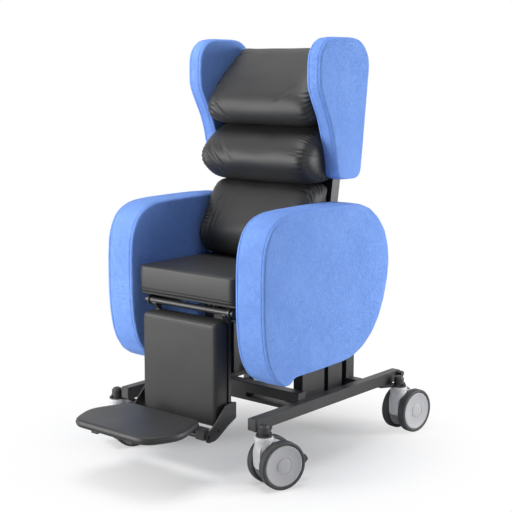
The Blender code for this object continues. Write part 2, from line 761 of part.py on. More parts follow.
def lug_pin(x, pivot):
    half = STRUT_EYE_WIDTH / 2 + GAP + LUG_THICKNESS + EDGE
    return disc(pivot, STRUT_PIN_RADIUS, x - half, x + half, sides=PIN_SIDES)


tilt_strut_low = (front_beam_rear + TILT_LUG_REACH, beam_bottom + TILT_LUG_RISE)
tilt_strut_high = (REAR_BAR_SETBACK + TILT_LEVER_REACH, seat_top - CROSS_BAR - TILT_LEVER_DROP)
recline_strut_low = (STRUT_BAR_SETBACK, seat_top - CROSS_BAR - RECLINE_LUG_DROP)
recline_strut_high = (recline_y + LUG_RADIUS, recline_z - LEVER_REACH)
leg_strut_low = (REAR_BAR_SETBACK - LEG_LUG_REACH, seat_top - CROSS_BAR - LEG_LUG_DROP)
leg_strut_high = (leg_y + LEG_LEVER_REACH * math.sin(LEG_LEVER_TURN),
                  leg_z - LEG_LEVER_REACH * math.cos(LEG_LEVER_TURN))


def front_beam():
    half = rail_inner - GAP
    top = beam_bottom + FRONT_BEAM_HEIGHT
    beam = box((-half, FRONT_BEAM_SETBACK, beam_bottom), (half, front_beam_rear, top), EDGE)
    slot_low = beam_bottom + BEAM_SLOT_RISE
    slot_end = rail_inner - BEAM_SLOT_MARGIN
    slots = [box((min(side * BEAM_SLOT_START, side * slot_end), FRONT_BEAM_SETBACK - OVERRUN, slot_low),
                 (max(side * BEAM_SLOT_START, side * slot_end), front_beam_rear + OVERRUN,
                  slot_low + BEAM_SLOT_HEIGHT)) for side in (-1, 1)]
    root = front_beam_rear - SINK
    outline = lug_outline(tilt_strut_low, (root, top - LUG_RADIUS * 2), (root, top - EDGE))
    lugs = lug(TILT_STRUT_X, outline)
    return joined(cut(beam, *slots), *lugs, lug_pin(TILT_STRUT_X, tilt_strut_low))


def rear_beam():
    half = rail_inner - GAP
    low = rail_bottom + EDGE
    return box((-half, REAR_BEAM_SETBACK, low), (half, rear_beam_rear, low + REAR_BEAM_HEIGHT), EDGE)


# Side towers: one plate folded into three posts and two grooves, on a flat foot between the beams
def tower_plan():
    """Plan of the folded plate's outer skin, from front to rear."""
    y = tower_front
    points = [(tower_inner, y)]
    for index, run in enumerate(tower_posts):
        depth = tower_outer if index % 2 == 0 else tower_outer - TOWER_GROOVE_DEPTH
        points += [(depth, y), (depth, y + run)]
        y += run
    points.append((tower_inner, y))
    return points


def folded(points, thickness):
    """A closed strip outline: a path with square bends, and the same path set in by its thickness."""
    inner = []
    for index, point in enumerate(points):
        here = Vector(point)
        before = here - Vector(points[index - 1]) if index else Vector(points[1]) - here
        after = Vector(points[index + 1]) - here if index + 1 < len(points) else before
        sides = [Vector((-run.y, run.x)).normalized() for run in (before, after)]
        shift = sides[0] if sides[0].dot(sides[1]) > 0.5 else sides[0] + sides[1]
        inner.append(here + shift * thickness)
    return [Vector(point) for point in points] + inner[::-1]


def tower(side):
    skin = plate(folded(tower_plan(), TOWER_PLATE), tower_foot_top - SINK, tower_top, "Z")
    tail = tower_foot_top + TOWER_TAIL_HEIGHT
    step = tower_front + TOWER_FRONT_POST + TOWER_FRONT_GROOVE / 2
    over = tower_top + OVERRUN
    behind = tower_rear + OVERRUN
    slope = [(step, tail + TOWER_TAIL_HEIGHT / 4), (behind, tail), (behind, over), (step, over)]
    waste = plate(slope, tower_inner - OVERRUN, tower_outer + OVERRUN)
    foot = box((tower_inner - TOWER_PLATE, front_beam_rear + GAP, rail_bottom),
               (tower_outer, REAR_BEAM_SETBACK - GAP, tower_foot_top))
    pivot = (tilt_y, tilt_z)
    boss = disc(pivot, TILT_BOSS_RADIUS, tower_inner, tower_outer - EDGE)
    pin = disc(pivot, TILT_PIN_RADIUS, seat_outer - EDGE - PIVOT_PLATE, tower_inner + EDGE, sides=PIN_SIDES)
    head = disc(pivot, TILT_BOSS_RADIUS, seat_outer - EDGE - PIVOT_PLATE, seat_outer - EDGE - GAP)
    beam_top = rail_bottom + EDGE + REAR_BEAM_HEIGHT
    notch = box((tower_inner - OVERRUN, REAR_BEAM_SETBACK - GAP, rail_bottom),
                (tower_outer + OVERRUN, rear_beam_rear + GAP, beam_top + GAP))
    return mirrored(joined(cut(skin, waste, notch), foot, boss, pin, head), side)


# Seat frame: two side rails and four bars, which tilt together on the pins of the towers
def pivot_plate():
    """The plate under a seat rail that turns on the tower's pin."""
    corners = [(tilt_y - PIVOT_PLATE_SPREAD, seat_bottom + EDGE, 0),
               (tilt_y - PIVOT_RING, tilt_z - PIVOT_RING, PIVOT_RING),
               (tilt_y + PIVOT_RING, tilt_z - PIVOT_RING, PIVOT_RING),
               (tilt_y + PIVOT_PLATE_SPREAD, seat_bottom + EDGE, 0)]
    outline = rounded(corners)
    low = seat_outer - EDGE
    body = plate(outline + [Vector((tilt_y + PIVOT_PLATE_SPREAD, seat_top - SINK)),
                            Vector((tilt_y - PIVOT_PLATE_SPREAD, seat_top - SINK))], low, low + PIVOT_PLATE)
    return cut(body, hole((tilt_y, tilt_z), TILT_PIN_RADIUS, low - OVERRUN, low + PIVOT_PLATE + OVERRUN))


def leg_bearing():
    """The plate at a seat rail's front that holds the leg rest's bar."""
    corners = [(SEAT_RAIL_START + PIVOT_PLATE_SPREAD, seat_top - SINK, 0),
               (leg_y - LEG_RING, leg_z + LEG_RING, LEG_RING), (leg_y - LEG_RING, leg_z - LEG_RING, LEG_RING),
               (SEAT_RAIL_START + PIVOT_PLATE_SPREAD, seat_bottom + SINK, 0)]
    low = seat_outer - SINK
    body = plate(rounded(corners), low, low + LEG_BEARING)
    high = low + LEG_BEARING + OVERRUN
    return cut(body, hole((leg_y, leg_z), LEG_BAR_RADIUS, low - OVERRUN, high, sides=ROUND_SIDES))


def arm_bracket():
    """The plate across the outriggers that an arm is screwed to."""
    low = arm_inner - GAP - ARM_PLATE
    front = OUTRIGGER_FRONT - OUTRIGGER
    middle = (seat_bottom + seat_top) / 2
    half = ARM_PLATE_HEIGHT / 2
    corners = [(front, middle - half, OUTRIGGER), (front + ARM_PLATE_LENGTH, middle - half, OUTRIGGER),
               (front + ARM_PLATE_LENGTH, middle + half, OUTRIGGER), (front, middle + half, OUTRIGGER)]
    return plate(rounded(corners), low, low + ARM_PLATE)


def seat_rail(side):
    tube = box((seat_inner, SEAT_RAIL_START, seat_bottom), (seat_outer, SEAT_RAIL_END, seat_top), EDGE)
    middle = (seat_bottom + seat_top) / 2
    plate_inner = arm_inner - GAP - ARM_PLATE
    arms = [box((seat_outer - SINK, y - OUTRIGGER / 2, middle - OUTRIGGER / 2),
                (plate_inner + SINK, y + OUTRIGGER / 2, middle + OUTRIGGER / 2))
            for y in (OUTRIGGER_FRONT, OUTRIGGER_REAR)]
    pivot = (recline_y, recline_z)
    boss = disc(pivot, TILT_BOSS_RADIUS, seat_outer - SINK, post_inner - GAP)
    pin = disc(pivot, TILT_PIN_RADIUS, post_inner - SINK, post_outer + GAP + EDGE, sides=PIN_SIDES)
    clip = disc(pivot, TILT_PIN_RADIUS + EDGE * 2, post_outer + GAP, post_outer + GAP + EDGE * 2)
    return mirrored(joined(tube, pivot_plate(), leg_bearing(), boss, pin, clip, *arms, arm_bracket()), side)


def cross_bar(y):
    half = seat_inner - GAP
    return box((-half, y - CROSS_BAR / 2, seat_top - CROSS_BAR), (half, y + CROSS_BAR / 2, seat_top), EDGE)


def seat_front_bar():
    """The round bar that shows above the leg rest's pad."""
    middle = (FRONT_BAR_SETBACK, seat_bottom + FRONT_BAR_DROP)
    half = seat_inner - GAP
    return disc(middle, FRONT_BAR_RADIUS, -half, half)


def seat_strut_bar():
    low = seat_top - CROSS_BAR + SINK
    roots = ((STRUT_BAR_SETBACK - CROSS_BAR / 4, low), (STRUT_BAR_SETBACK + CROSS_BAR / 4, low))
    lugs = lug(RECLINE_STRUT_X, lug_outline(recline_strut_low, *roots))
    return joined(cross_bar(STRUT_BAR_SETBACK), *lugs, lug_pin(RECLINE_STRUT_X, recline_strut_low))


def seat_rear_bar():
    """The bar that carries the tilt strut's lever behind it and the lugs of the leg rest's strut below it."""
    low = seat_top - CROSS_BAR + SINK
    roots = ((REAR_BAR_SETBACK - CROSS_BAR / 4, low), (REAR_BAR_SETBACK + CROSS_BAR / 4, low))
    lugs = lug(LEG_STRUT_X, lug_outline(leg_strut_low, *roots))
    rear = REAR_BAR_SETBACK + CROSS_BAR / 2 - SINK
    lever_roots = ((rear, low), (rear, seat_top - CROSS_BAR / 4))
    levers = lug(TILT_STRUT_X, lug_outline(tilt_strut_high, *lever_roots))
    pins = (lug_pin(LEG_STRUT_X, leg_strut_low), lug_pin(TILT_STRUT_X, tilt_strut_high))
    return joined(cross_bar(REAR_BAR_SETBACK), *lugs, *levers, *pins)


def seat_pan():
    return box((-pan_half, PAN_FRONT, pan_bottom), (pan_half, PAN_REAR, pan_top), EDGE)


def seat_cushion():
    places = ((-cushion_half, 0), (cushion_half, 0), (cushion_half, CUSHION_REAR),
              (-cushion_half, CUSHION_REAR))
    outline = rounded([(*place, CUSHION_CORNER) for place in places])
    crowns = (0.0, CUSHION_CROWN)
    return upholstered(outline, cushion_bottom, cushion_top, "Z", CUSHION_ROUND, crowns, CUSHION_DRAW)


def outline_from(shares, length, height, start):
    """Corners given as shares of a length and a height, as an outline that starts at a place."""
    y, z = start
    return rounded([(y + u * length, z + v * height, radius * height) for u, v, radius in shares])


def arm(side):
    """A thick upholstered arm whose front lobe hangs lower than its flat underside."""
    outline = outline_from(ARM_OUTLINE_SHARES, ARM_LENGTH, ARM_HEIGHT, (-ARM_OVERHANG, arm_bottom))
    body = upholstered(outline, arm_inner, arm_inner + ARM_THICKNESS, "X", ARM_ROUND, (0.0, ARM_CROWN))
    return mirrored(body, side)


# Back: two leaning posts and two bars, with a board, three pillows and two wings
def back_place(along, ahead):
    """A place on the back: a distance up the lean from the recline pin, and one ahead of the posts."""
    up = Vector((math.sin(BACK_LEAN), math.cos(BACK_LEAN)))
    front = Vector((-math.cos(BACK_LEAN), math.sin(BACK_LEAN)))
    return Vector((recline_y, recline_z)) + up * along + front * ahead


def back_strip(start, end, rear, front):
    """Outline of a bar that follows the lean, between two distances and two depths."""
    return [back_place(start, rear), back_place(start, front), back_place(end, front), back_place(end, rear)]


def back_post(side):
    half = POST_DEPTH / 2
    corners = [(*back_place(-half, -half), half), (*back_place(-half, half), half),
               (*back_place(POST_LENGTH, half), half / 2), (*back_place(POST_LENGTH, -half), half / 2)]
    tube = plate(rounded(corners), post_inner, post_outer)
    block_end = wing_inner - WING_CROWN - GAP
    lows = [POST_LENGTH - drop for drop in WING_BLOCK_DROPS]
    strips = [back_strip(low, low + WING_BLOCK_LENGTH, -half + EDGE, half - EDGE) for low in lows]
    blocks = [plate(strip, post_outer - SINK, block_end) for strip in strips]
    pin_hole = hole((recline_y, recline_z), TILT_PIN_RADIUS, post_inner - OVERRUN, post_outer + OVERRUN)
    return mirrored(joined(cut(tube, pin_hole), *blocks), side)


def back_bar(share):
    middle = POST_LENGTH * share
    front = POST_DEPTH / 2 - BOARD_THICKNESS - GAP
    strip = back_strip(middle - BACK_BAR / 2, middle + BACK_BAR / 2, -BACK_BAR / 2, front)
    half = post_inner - GAP
    return plate(strip, -half, half)


def back_lower_bar():
    """The lower bar, with the lever that the recline strut pulls."""
    low = POST_LENGTH * LOWER_BAR_SHARE - BACK_BAR / 2 + SINK
    roots = (back_place(low, -BACK_BAR / 2 + EDGE), back_place(low, POST_DEPTH / 2 - BOARD_THICKNESS - EDGE))
    lugs = lug(RECLINE_STRUT_X, lug_outline(recline_strut_high, *roots))
    return joined(back_bar(LOWER_BAR_SHARE), *lugs, lug_pin(RECLINE_STRUT_X, recline_strut_high))


def back_board():
    front = POST_DEPTH / 2
    strip = back_strip(BOARD_START, POST_LENGTH + BOARD_RISE, front - BOARD_THICKNESS, front)
    return plate(strip, -board_half, board_half)


def pillow_section(shares, low, height, depth):
    """A pillow's section, whose depth runs forward from the leaning board at each height."""
    points = []
    for ahead, rise, radius in shares:
        z = low + rise * height
        board = back_place((z - recline_z) / math.cos(BACK_LEAN), POST_DEPTH / 2 + PILLOW_GAP)
        points.append((board.x - ahead * depth, z, radius * height))
    return rounded(points)


def back_pillows():
    lumbar_low = cushion_top + CUSHION_CROWN + PILLOW_GAP
    middle_low = lumbar_low + LUMBAR_HEIGHT + PILLOW_GAP
    head_low = middle_low + MIDDLE_HEIGHT + PILLOW_GAP
    sections = (
        ("lumbar_pillow", arm_inner - LUMBAR_SIDE_GAP, LUMBAR_SHARES, lumbar_low, LUMBAR_HEIGHT, LUMBAR_DEPTH),
        ("middle_pillow", wing_inner + MIDDLE_OVERHANG, MIDDLE_SHARES, middle_low, MIDDLE_HEIGHT, MIDDLE_DEPTH),
        ("head_pillow", wing_inner - HEAD_SIDE_GAP, HEAD_SHARES, head_low, HEAD_HEIGHT, HEAD_DEPTH),
    )
    return [(name, pillow(pillow_section(*section), half)) for name, half, *section in sections]


def wing(side):
    start = (WING_SETBACK, recline_z + WING_LIFT)
    outline = outline_from(WING_OUTLINE_SHARES, WING_DEPTH, WING_HEIGHT, start)
    crowns = (WING_CROWN, WING_CROWN)
    body = upholstered(outline, wing_inner, wing_inner + WING_THICKNESS, "X", WING_ROUND, crowns)
    return mirrored(body, side)


# Leg rest: a frame that swings on its bar, with a pad in front and bent links at its foot
def leg_rest_frame():
    side_inner = pad_half - LEG_SIDE_WIDTH
    bar = disc((leg_y, leg_z), LEG_BAR_RADIUS, -leg_bar_half, leg_bar_half)
    knee = pad_top - EDGE
    ring = LEG_RING - EDGE
    hanger = [(leg_y - ring * 0.6, leg_z), (leg_y - ring * 0.6, leg_z - ring * 0.7), (leg_front, knee),
              (leg_front, leg_bottom), (leg_rear, leg_bottom), (leg_rear, knee), (leg_y + ring, leg_z),
              (leg_y, leg_z + ring * 0.6)]
    hangers = [plate(hanger, side * side_inner, side * pad_half) for side in (-1, 1)]
    foot_half = link_inner - GAP
    foot = box((-foot_half, leg_front, leg_bottom), (foot_half, leg_rear, leg_bottom + LEG_FOOT_HEIGHT))
    top = box((-side_inner - SINK, leg_front, knee - CROSS_BAR), (side_inner + SINK, leg_rear, knee))
    panel = box((-side_inner - SINK, leg_front, leg_bottom + SINK),
                (side_inner + SINK, leg_front + LEG_PANEL, knee - SINK))
    roots = ((leg_rear - SINK, knee - CROSS_BAR + EDGE), (leg_rear - SINK, knee - EDGE))
    lug_start = LEG_STRUT_X + STRUT_EYE_WIDTH / 2 + GAP
    lug_end = lug_start + LUG_THICKNESS
    lever = plate(lug_outline(leg_strut_high, *roots), lug_start, lug_end)
    bolt = disc(leg_strut_high, STRUT_PIN_RADIUS, lug_start, lug_end + EDGE * 2, sides=PIN_SIDES)
    return joined(bar, *hangers, foot, top, panel, lever, bolt)


def leg_rest_pad():
    low = pad_top - PAD_HEIGHT
    places = ((-pad_half, low), (pad_half, low), (pad_half, pad_top), (-pad_half, pad_top))
    corners = [(*place, PAD_CORNER) for place in places]
    crowns = (PAD_CROWN, 0.0)
    return upholstered(rounded(corners), -PAD_OVERHANG, leg_front - GAP, "Y", PAD_ROUND, crowns)


def leg_rest_link(side):
    """The bent plate at the side of the leg rest's foot that holds the footplate's pin."""
    outline = outline_from(LINK_OUTLINE_SHARES, LINK_REACH, LINK_RISE, (foot_y, foot_z))
    link_outer = link_inner + LINK_THICKNESS
    body = plate(outline, link_inner, link_outer)
    pin_hole = hole((foot_y, foot_z), FOOT_PIN_RADIUS, link_inner - OVERRUN, link_outer + OVERRUN)
    stop_place = (foot_y + LINK_REACH * 0.36, foot_z + LINK_RISE * 0.12)
    stop = disc(stop_place, FOOT_PIN_RADIUS, link_inner + EDGE, link_outer + EDGE * 2, sides=PIN_SIDES)
    return mirrored(joined(cut(body, pin_hole), stop), side)


# Footplate: an upholstered plate on two arms, which folds up about a tube between the links
def foot_bracket():
    half = link_inner - GAP
    outer = link_inner + LINK_THICKNESS + GAP
    pivot = (foot_y, foot_z)
    tube = disc(pivot, FOOT_TUBE_RADIUS, -half, half)
    pin = disc(pivot, FOOT_PIN_RADIUS, -outer - EDGE, outer + EDGE, sides=PIN_SIDES)
    nuts = [disc(pivot, FOOT_NUT_RADIUS, side * outer, side * (outer + FOOT_NUT_HEIGHT), sides=PIN_SIDES)
            for side in (-1, 1)]
    top = foot_z + FOOT_RISE - GAP
    arm_front, arm_low = foot_y - FOOT_ARM_LENGTH, top - FOOT_ARM_THICKNESS
    arms = [box((side * FOOT_ARM_TRACK / 2 - FOOT_ARM_WIDTH / 2, arm_front, arm_low),
                (side * FOOT_ARM_TRACK / 2 + FOOT_ARM_WIDTH / 2, foot_y + FOOT_TUBE_RADIUS / 2, top))
            for side in (-1, 1)]
    front = foot_y + FOOT_START - FOOT_TUBE_RADIUS
    bar = box((-half, front, top - FOOT_ARM_THICKNESS / 2), (half, foot_y + FOOT_TUBE_RADIUS / 2, top - EDGE))
    block_inner = half - FOOT_BLOCK_WIDTH
    blocks = [box((min(side * block_inner, side * half), front + EDGE, foot_z - FOOT_TUBE_RADIUS / 2),
                  (max(side * block_inner, side * half), foot_y, top - EDGE * 2)) for side in (-1, 1)]
    return joined(tube, pin, *nuts, bar, *arms, *blocks)


def footplate():
    half = FOOT_WIDTH / 2
    rear = foot_y + FOOT_START
    corners = [(half * across, rear - FOOT_LENGTH * back, FOOT_LENGTH * radius)
               for across, back, radius in FOOT_OUTLINE_SHARES]
    corners += [(-x, y, radius) for x, y, radius in reversed(corners)]
    low = foot_z + FOOT_RISE
    crowns = (0.0, FOOT_CROWN)
    return upholstered(rounded(corners), low, low + FOOT_THICKNESS, "Z", FOOT_EDGE_ROUND, crowns)


# Struts: a cylinder on its own pin, and a rod that slides in its bore with an open eye at its end
def strut_frame(x, low, high):
    """The matrix that lays a strut, built along +Z from its eye, between two pins."""
    run = Vector((0, high[0] - low[0], high[1] - low[1]))
    turn = Vector((0, 0, 1)).rotation_difference(run).to_matrix().to_4x4()
    return Matrix.Translation((x, low[0], low[1])) @ turn, run.length


def strut_cylinder(x, low, high, length):
    frame, _ = strut_frame(x, low, high)
    start = STRUT_EYE_RADIUS - SINK
    neck = STRUT_ROD_RADIUS + EDGE / 2
    levels = [(start, neck), (STRUT_NECK, neck), (STRUT_NECK, STRUT_RADIUS - EDGE)]
    levels += [(STRUT_NECK + EDGE, STRUT_RADIUS), (length - EDGE, STRUT_RADIUS), (length, STRUT_RADIUS - EDGE)]
    body = loft([placed(circle((0, 0), radius, ROUND_SIDES), level, "Z") for level, radius in levels])
    bore = hole((0, 0), STRUT_ROD_RADIUS, STRUT_NECK + STRUT_WALL, length + OVERRUN, "Z")
    half = STRUT_EYE_WIDTH / 2
    eye = disc((0, 0), STRUT_EYE_RADIUS, -half, half)
    pin_hole = hole((0, 0), STRUT_PIN_RADIUS, -half - OVERRUN, half + OVERRUN)
    return moved(cut(joined(body, eye), bore, pin_hole), frame)


def strut_rod(x, low, high, stroke):
    frame, length = strut_frame(x, low, high)
    start = STRUT_NECK + STRUT_WALL + EDGE + stroke
    end = length - STRUT_EYE_RADIUS + SINK
    rod = disc((0, 0), STRUT_ROD_RADIUS, start, end, "Z", PIN_SIDES)
    half = STRUT_EYE_WIDTH / 2
    eye = disc((0, length), STRUT_EYE_RADIUS, -half, half)
    pin_hole = hole((0, length), STRUT_PIN_RADIUS, -half - OVERRUN, half + OVERRUN, play=STRUT_PLAY)
    return moved(cut(joined(rod, eye), pin_hole), frame)


def strut(name, x, low, high, length, stroke, chair):
    """A strut whose rod slides in by the stroke, or starts at the bottom of its bore where it slides out."""
    piece(f"{name}_strut_cylinder", strut_cylinder(x, low, high, length), STEEL, chair, (x, *low))
    piece(f"{name}_strut_rod", strut_rod(x, low, high, stroke), CHROME, chair, (x, *high))


tilt_pivot = (0, tilt_y, tilt_z)
recline_pivot = (0, recline_y, recline_z)
leg_pivot = (0, leg_y, leg_z)
foot_pivot = (0, foot_y, foot_z)
chair = empty("chair", (0, 0, 0))

for castor_name, castor_side, castor_end, castor_turn in CASTORS:
    castor(castor_name, castor_side, castor_end, castor_turn, chair)
for side_name, side_sign in (("left", 1), ("right", -1)):
    piece(f"base_rail_{side_name}", base_rail(side_sign), STEEL, chair)
    piece(f"base_rail_cap_{side_name}", rail_cap(side_sign), TYRE, chair)
    piece(f"tower_{side_name}", tower(side_sign), STEEL, chair)
    piece(f"seat_rail_{side_name}", seat_rail(side_sign), STEEL, chair, tilt_pivot)
    piece(f"arm_{side_name}", arm(side_sign), BLUE, chair, tilt_pivot)
    piece(f"back_post_{side_name}", back_post(side_sign), STEEL, chair, recline_pivot)
    piece(f"wing_{side_name}", wing(side_sign), BLUE, chair, recline_pivot)
    piece(f"leg_rest_link_{side_name}", leg_rest_link(side_sign), STEEL, chair, leg_pivot)
piece("base_front_beam", front_beam(), STEEL, chair)
piece("base_rear_beam", rear_beam(), STEEL, chair)
piece("seat_front_bar", seat_front_bar(), STEEL, chair, tilt_pivot)
piece("seat_strut_bar", seat_strut_bar(), STEEL, chair, tilt_pivot)
piece("seat_rear_bar", seat_rear_bar(), STEEL, chair, tilt_pivot)
piece("seat_pan", seat_pan(), BOARD, chair, tilt_pivot)
piece("seat_cushion", seat_cushion(), VINYL, chair, tilt_pivot)
piece("back_lower_bar", back_lower_bar(), STEEL, chair, recline_pivot)
piece("back_upper_bar", back_bar(UPPER_BAR_SHARE), STEEL, chair, recline_pivot)
piece("back_board", back_board(), BOARD, chair, recline_pivot)
for pillow_name, pillow_solid in back_pillows():
    piece(pillow_name, pillow_solid, VINYL, chair, recline_pivot)
piece("leg_rest_frame", leg_rest_frame(), STEEL, chair, leg_pivot)
piece("leg_rest_pad", leg_rest_pad(), VINYL, chair, leg_pivot)
piece("footplate_bracket", foot_bracket(), STEEL, chair, foot_pivot)
piece("footplate", footplate(), VINYL, chair, foot_pivot)
strut("tilt", TILT_STRUT_X, tilt_strut_low, tilt_strut_high, TILT_STRUT_BODY, TILT_STROKE, chair)
strut("recline", RECLINE_STRUT_X, recline_strut_low, recline_strut_high, RECLINE_STRUT_BODY, RECLINE_STROKE,
      chair)
strut("leg_rest", LEG_STRUT_X, leg_strut_low, leg_strut_high, LEG_STRUT_BODY, 0.0, chair)
bpy.context.view_layer.update()
depths = []
for made in bpy.data.objects:
    if made.data:
        depths += [(made.matrix_world @ vertex.co).y for vertex in made.data.vertices]
chair.location.y = -(min(depths) + max(depths)) / 2
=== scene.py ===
"""The look of a care chair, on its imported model: black steel, blue upholstery and black vinyl.

Metres, +Z up. The chair faces -Y, and left is the left of the person in it, at +X.
"""

import json
import math

import bmesh
import bpy
import numpy as np
from mathutils import Matrix, Vector, noise


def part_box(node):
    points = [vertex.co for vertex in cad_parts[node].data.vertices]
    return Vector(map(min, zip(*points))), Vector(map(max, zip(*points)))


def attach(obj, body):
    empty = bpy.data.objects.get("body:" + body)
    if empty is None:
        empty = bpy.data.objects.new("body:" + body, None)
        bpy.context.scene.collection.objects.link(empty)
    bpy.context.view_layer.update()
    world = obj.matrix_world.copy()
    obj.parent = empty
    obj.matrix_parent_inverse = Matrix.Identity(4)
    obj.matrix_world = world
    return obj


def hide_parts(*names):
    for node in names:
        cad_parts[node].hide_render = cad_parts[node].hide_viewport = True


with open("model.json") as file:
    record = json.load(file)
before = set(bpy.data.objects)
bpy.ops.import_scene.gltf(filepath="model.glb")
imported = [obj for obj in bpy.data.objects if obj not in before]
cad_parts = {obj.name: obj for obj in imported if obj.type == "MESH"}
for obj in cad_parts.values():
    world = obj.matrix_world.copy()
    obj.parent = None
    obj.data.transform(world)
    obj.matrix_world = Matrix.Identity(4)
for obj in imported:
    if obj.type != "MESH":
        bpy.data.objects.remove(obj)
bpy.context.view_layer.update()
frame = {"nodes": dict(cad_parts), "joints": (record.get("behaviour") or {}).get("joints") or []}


# Steel frame. Rails, beams, folded towers, posts and brackets are welded or folded steel, with one coat
# of satin black powder. The coat has a fine orange peel, and is a little duller here and there.
class Value:
    """A number that varies over a surface: arithmetic on it adds its Math nodes."""

    def __init__(self, nodes, socket):
        self.nodes, self.socket = nodes, socket

    def math(self, operation, *inputs):
        return self.nodes.node("ShaderNodeMath", {"operation": operation}, dict(enumerate(inputs)))

    def __add__(self, other):
        return self.math("ADD", self, other)

    def __radd__(self, other):
        return self.math("ADD", other, self)

    def __sub__(self, other):
        return self.math("SUBTRACT", self, other)

    def __rsub__(self, other):
        return self.math("SUBTRACT", other, self)

    def __mul__(self, other):
        return self.math("MULTIPLY", self, other)

    def __rmul__(self, other):
        return self.math("MULTIPLY", other, self)

    def __abs__(self):
        return self.math("ABSOLUTE", self)


class Nodes:
    """A node tree, whose nodes are all added by one method."""

    def __init__(self, tree):
        self.tree = tree

    def put(self, socket, value):
        """Links a varying value to a socket, or sets a plain one on it."""
        if isinstance(value, Value):
            self.tree.links.new(value.socket, socket)
        elif isinstance(value, tuple) and len(value) == 3 and socket.type == "RGBA":
            socket.default_value = (*value, 1.0)
        else:
            socket.default_value = value

    def node(self, kind, settings=None, sockets=None, output=0):
        """Adds a node with its settings and its sockets' values or links, and gives its output."""
        made = self.tree.nodes.new(kind)
        for setting, value in (settings or {}).items():
            setattr(made, setting, value)
        for socket, value in (sockets or {}).items():
            self.put(made.inputs[socket], value)
        return Value(self, made.outputs[output])


class Finish(Nodes):
    """A Principled material; the slot of the record that it is given is kept but not used."""

    def __init__(self, name, slot, **sockets):
        self.slot = slot
        self.material = bpy.data.materials.new(name)
        self.material.use_nodes = True
        super().__init__(self.material.node_tree)
        self.shader = self.tree.nodes["Principled BSDF"]
        self.place = self.node("ShaderNodeTexCoord", output="Object")
        for socket, value in sockets.items():
            self.put(self.shader.inputs[socket.replace("_", " ")], value)

    def grain(self, scale, detail=2.0, rough=0.5, distortion=0.0, place=None):
        """Noise from 0 to 1, with scale features to the metre."""
        sockets = {"Vector": place or self.place, "Scale": scale, "Detail": detail, "Roughness": rough,
                   "Distortion": distortion}
        return self.node("ShaderNodeTexNoise", None, sockets)

    def cells(self, scale):
        """The distance to the edge of cells, with scale cells to the metre."""
        sockets = {"Vector": self.place, "Scale": scale}
        return self.node("ShaderNodeTexVoronoi", {"feature": "DISTANCE_TO_EDGE"}, sockets)

    def stretched(self, x, y, z):
        """The object's own coordinates, multiplied along each axis."""
        return self.node("ShaderNodeMapping", None, {"Vector": self.place, "Scale": (x, y, z)})

    def limited(self, value, low, high):
        """A value's run from low to high, spread from 0 to 1."""
        sockets = {"Value": value, "From Min": low, "From Max": high}
        return self.node("ShaderNodeMapRange", None, sockets)

    def mixed(self, factor, first, second):
        """One colour turned into another by a factor."""
        return self.node("ShaderNodeMix", {"data_type": "RGBA"}, {0: factor, 6: first, 7: second}, 2)

    def wear(self, colour, roughness, height):
        """Sets what varies: the colour, the roughness, and the relief as a height in metres."""
        bump = self.node("ShaderNodeBump", None, {"Strength": 1.0, "Distance": 1.0, "Height": height})
        for socket, value in (("Base Color", colour), ("Roughness", roughness), ("Normal", bump)):
            self.put(self.shader.inputs[socket], value)


COAT_DARK = (0.017, 0.017, 0.018)
COAT_LIGHT = (0.029, 0.029, 0.030)
COAT_PEEL = 0.00003
powder_coat = Finish("satin_black_powder_coat", "black_powder_coat", Specular_IOR_Level=0.55)
cloudy = powder_coat.grain(16.0, detail=3.0)
peel = powder_coat.grain(700.0)
coat_colour = powder_coat.mixed(cloudy, COAT_DARK, COAT_LIGHT)
powder_coat.wear(coat_colour, 0.36 + cloudy * 0.16, peel * COAT_PEEL)

EDGE_ROUND = 0.0012
EDGE_SEGMENTS = 2
EDGE_ANGLE = math.radians(40)
STEEL = ("base_rail", "base_front", "base_rear", "tower", "seat_rail", "seat_front", "seat_strut",
         "seat_rear", "back_post", "back_lower", "back_upper", "leg_rest_frame", "leg_rest_link",
         "footplate_bracket")


def coated(node, finish, edge=EDGE_ROUND):
    """Gives a CAD node its finish, and rounds its edges as a bent or moulded part's are."""
    thing = frame["nodes"][node]
    thing.data.materials.clear()
    thing.data.materials.append(finish.material)
    if edge > 0:
        rounding = thing.modifiers.new("edges", "BEVEL")
        rounding.width = edge
        rounding.segments = EDGE_SEGMENTS
        rounding.limit_method = "ANGLE"
        rounding.angle_limit = EDGE_ANGLE
        rounding.harden_normals = True


for steel_name in frame["nodes"]:
    if steel_name.startswith(STEEL) and "cap" not in steel_name:
        coated(steel_name, powder_coat)


# Castors. Each is a twin-wheel swivel castor: a moulded grey housing with a grooved collar, two grey
# discs on one axle, two dark tyres pressed on the discs, and a brake pedal that comes out behind.
WHEEL_RADIUS = 0.075
WHEEL_WIDTH = 0.0275
WHEEL_ROOM = 0.0015
WHEEL_SIDES = 96
WHEEL_SHARP = 40
CASTOR_WIDTH = 0.0994
AXLE_RADIUS = 0.006

HOUSING_DARK = (0.64, 0.64, 0.655)
HOUSING_LIGHT = (0.72, 0.72, 0.735)
PLASTIC_SPECKLE = 0.00002
moulded = Finish("grey_moulded_plastic", "grey_plastic", Specular_IOR_Level=0.5)
shade = moulded.grain(22.0, detail=3.0)
speckle = moulded.grain(1400.0, detail=1.0)
housing_colour = moulded.mixed(shade, HOUSING_DARK, HOUSING_LIGHT)
moulded.wear(housing_colour, 0.38 + shade * 0.12, speckle * PLASTIC_SPECKLE)

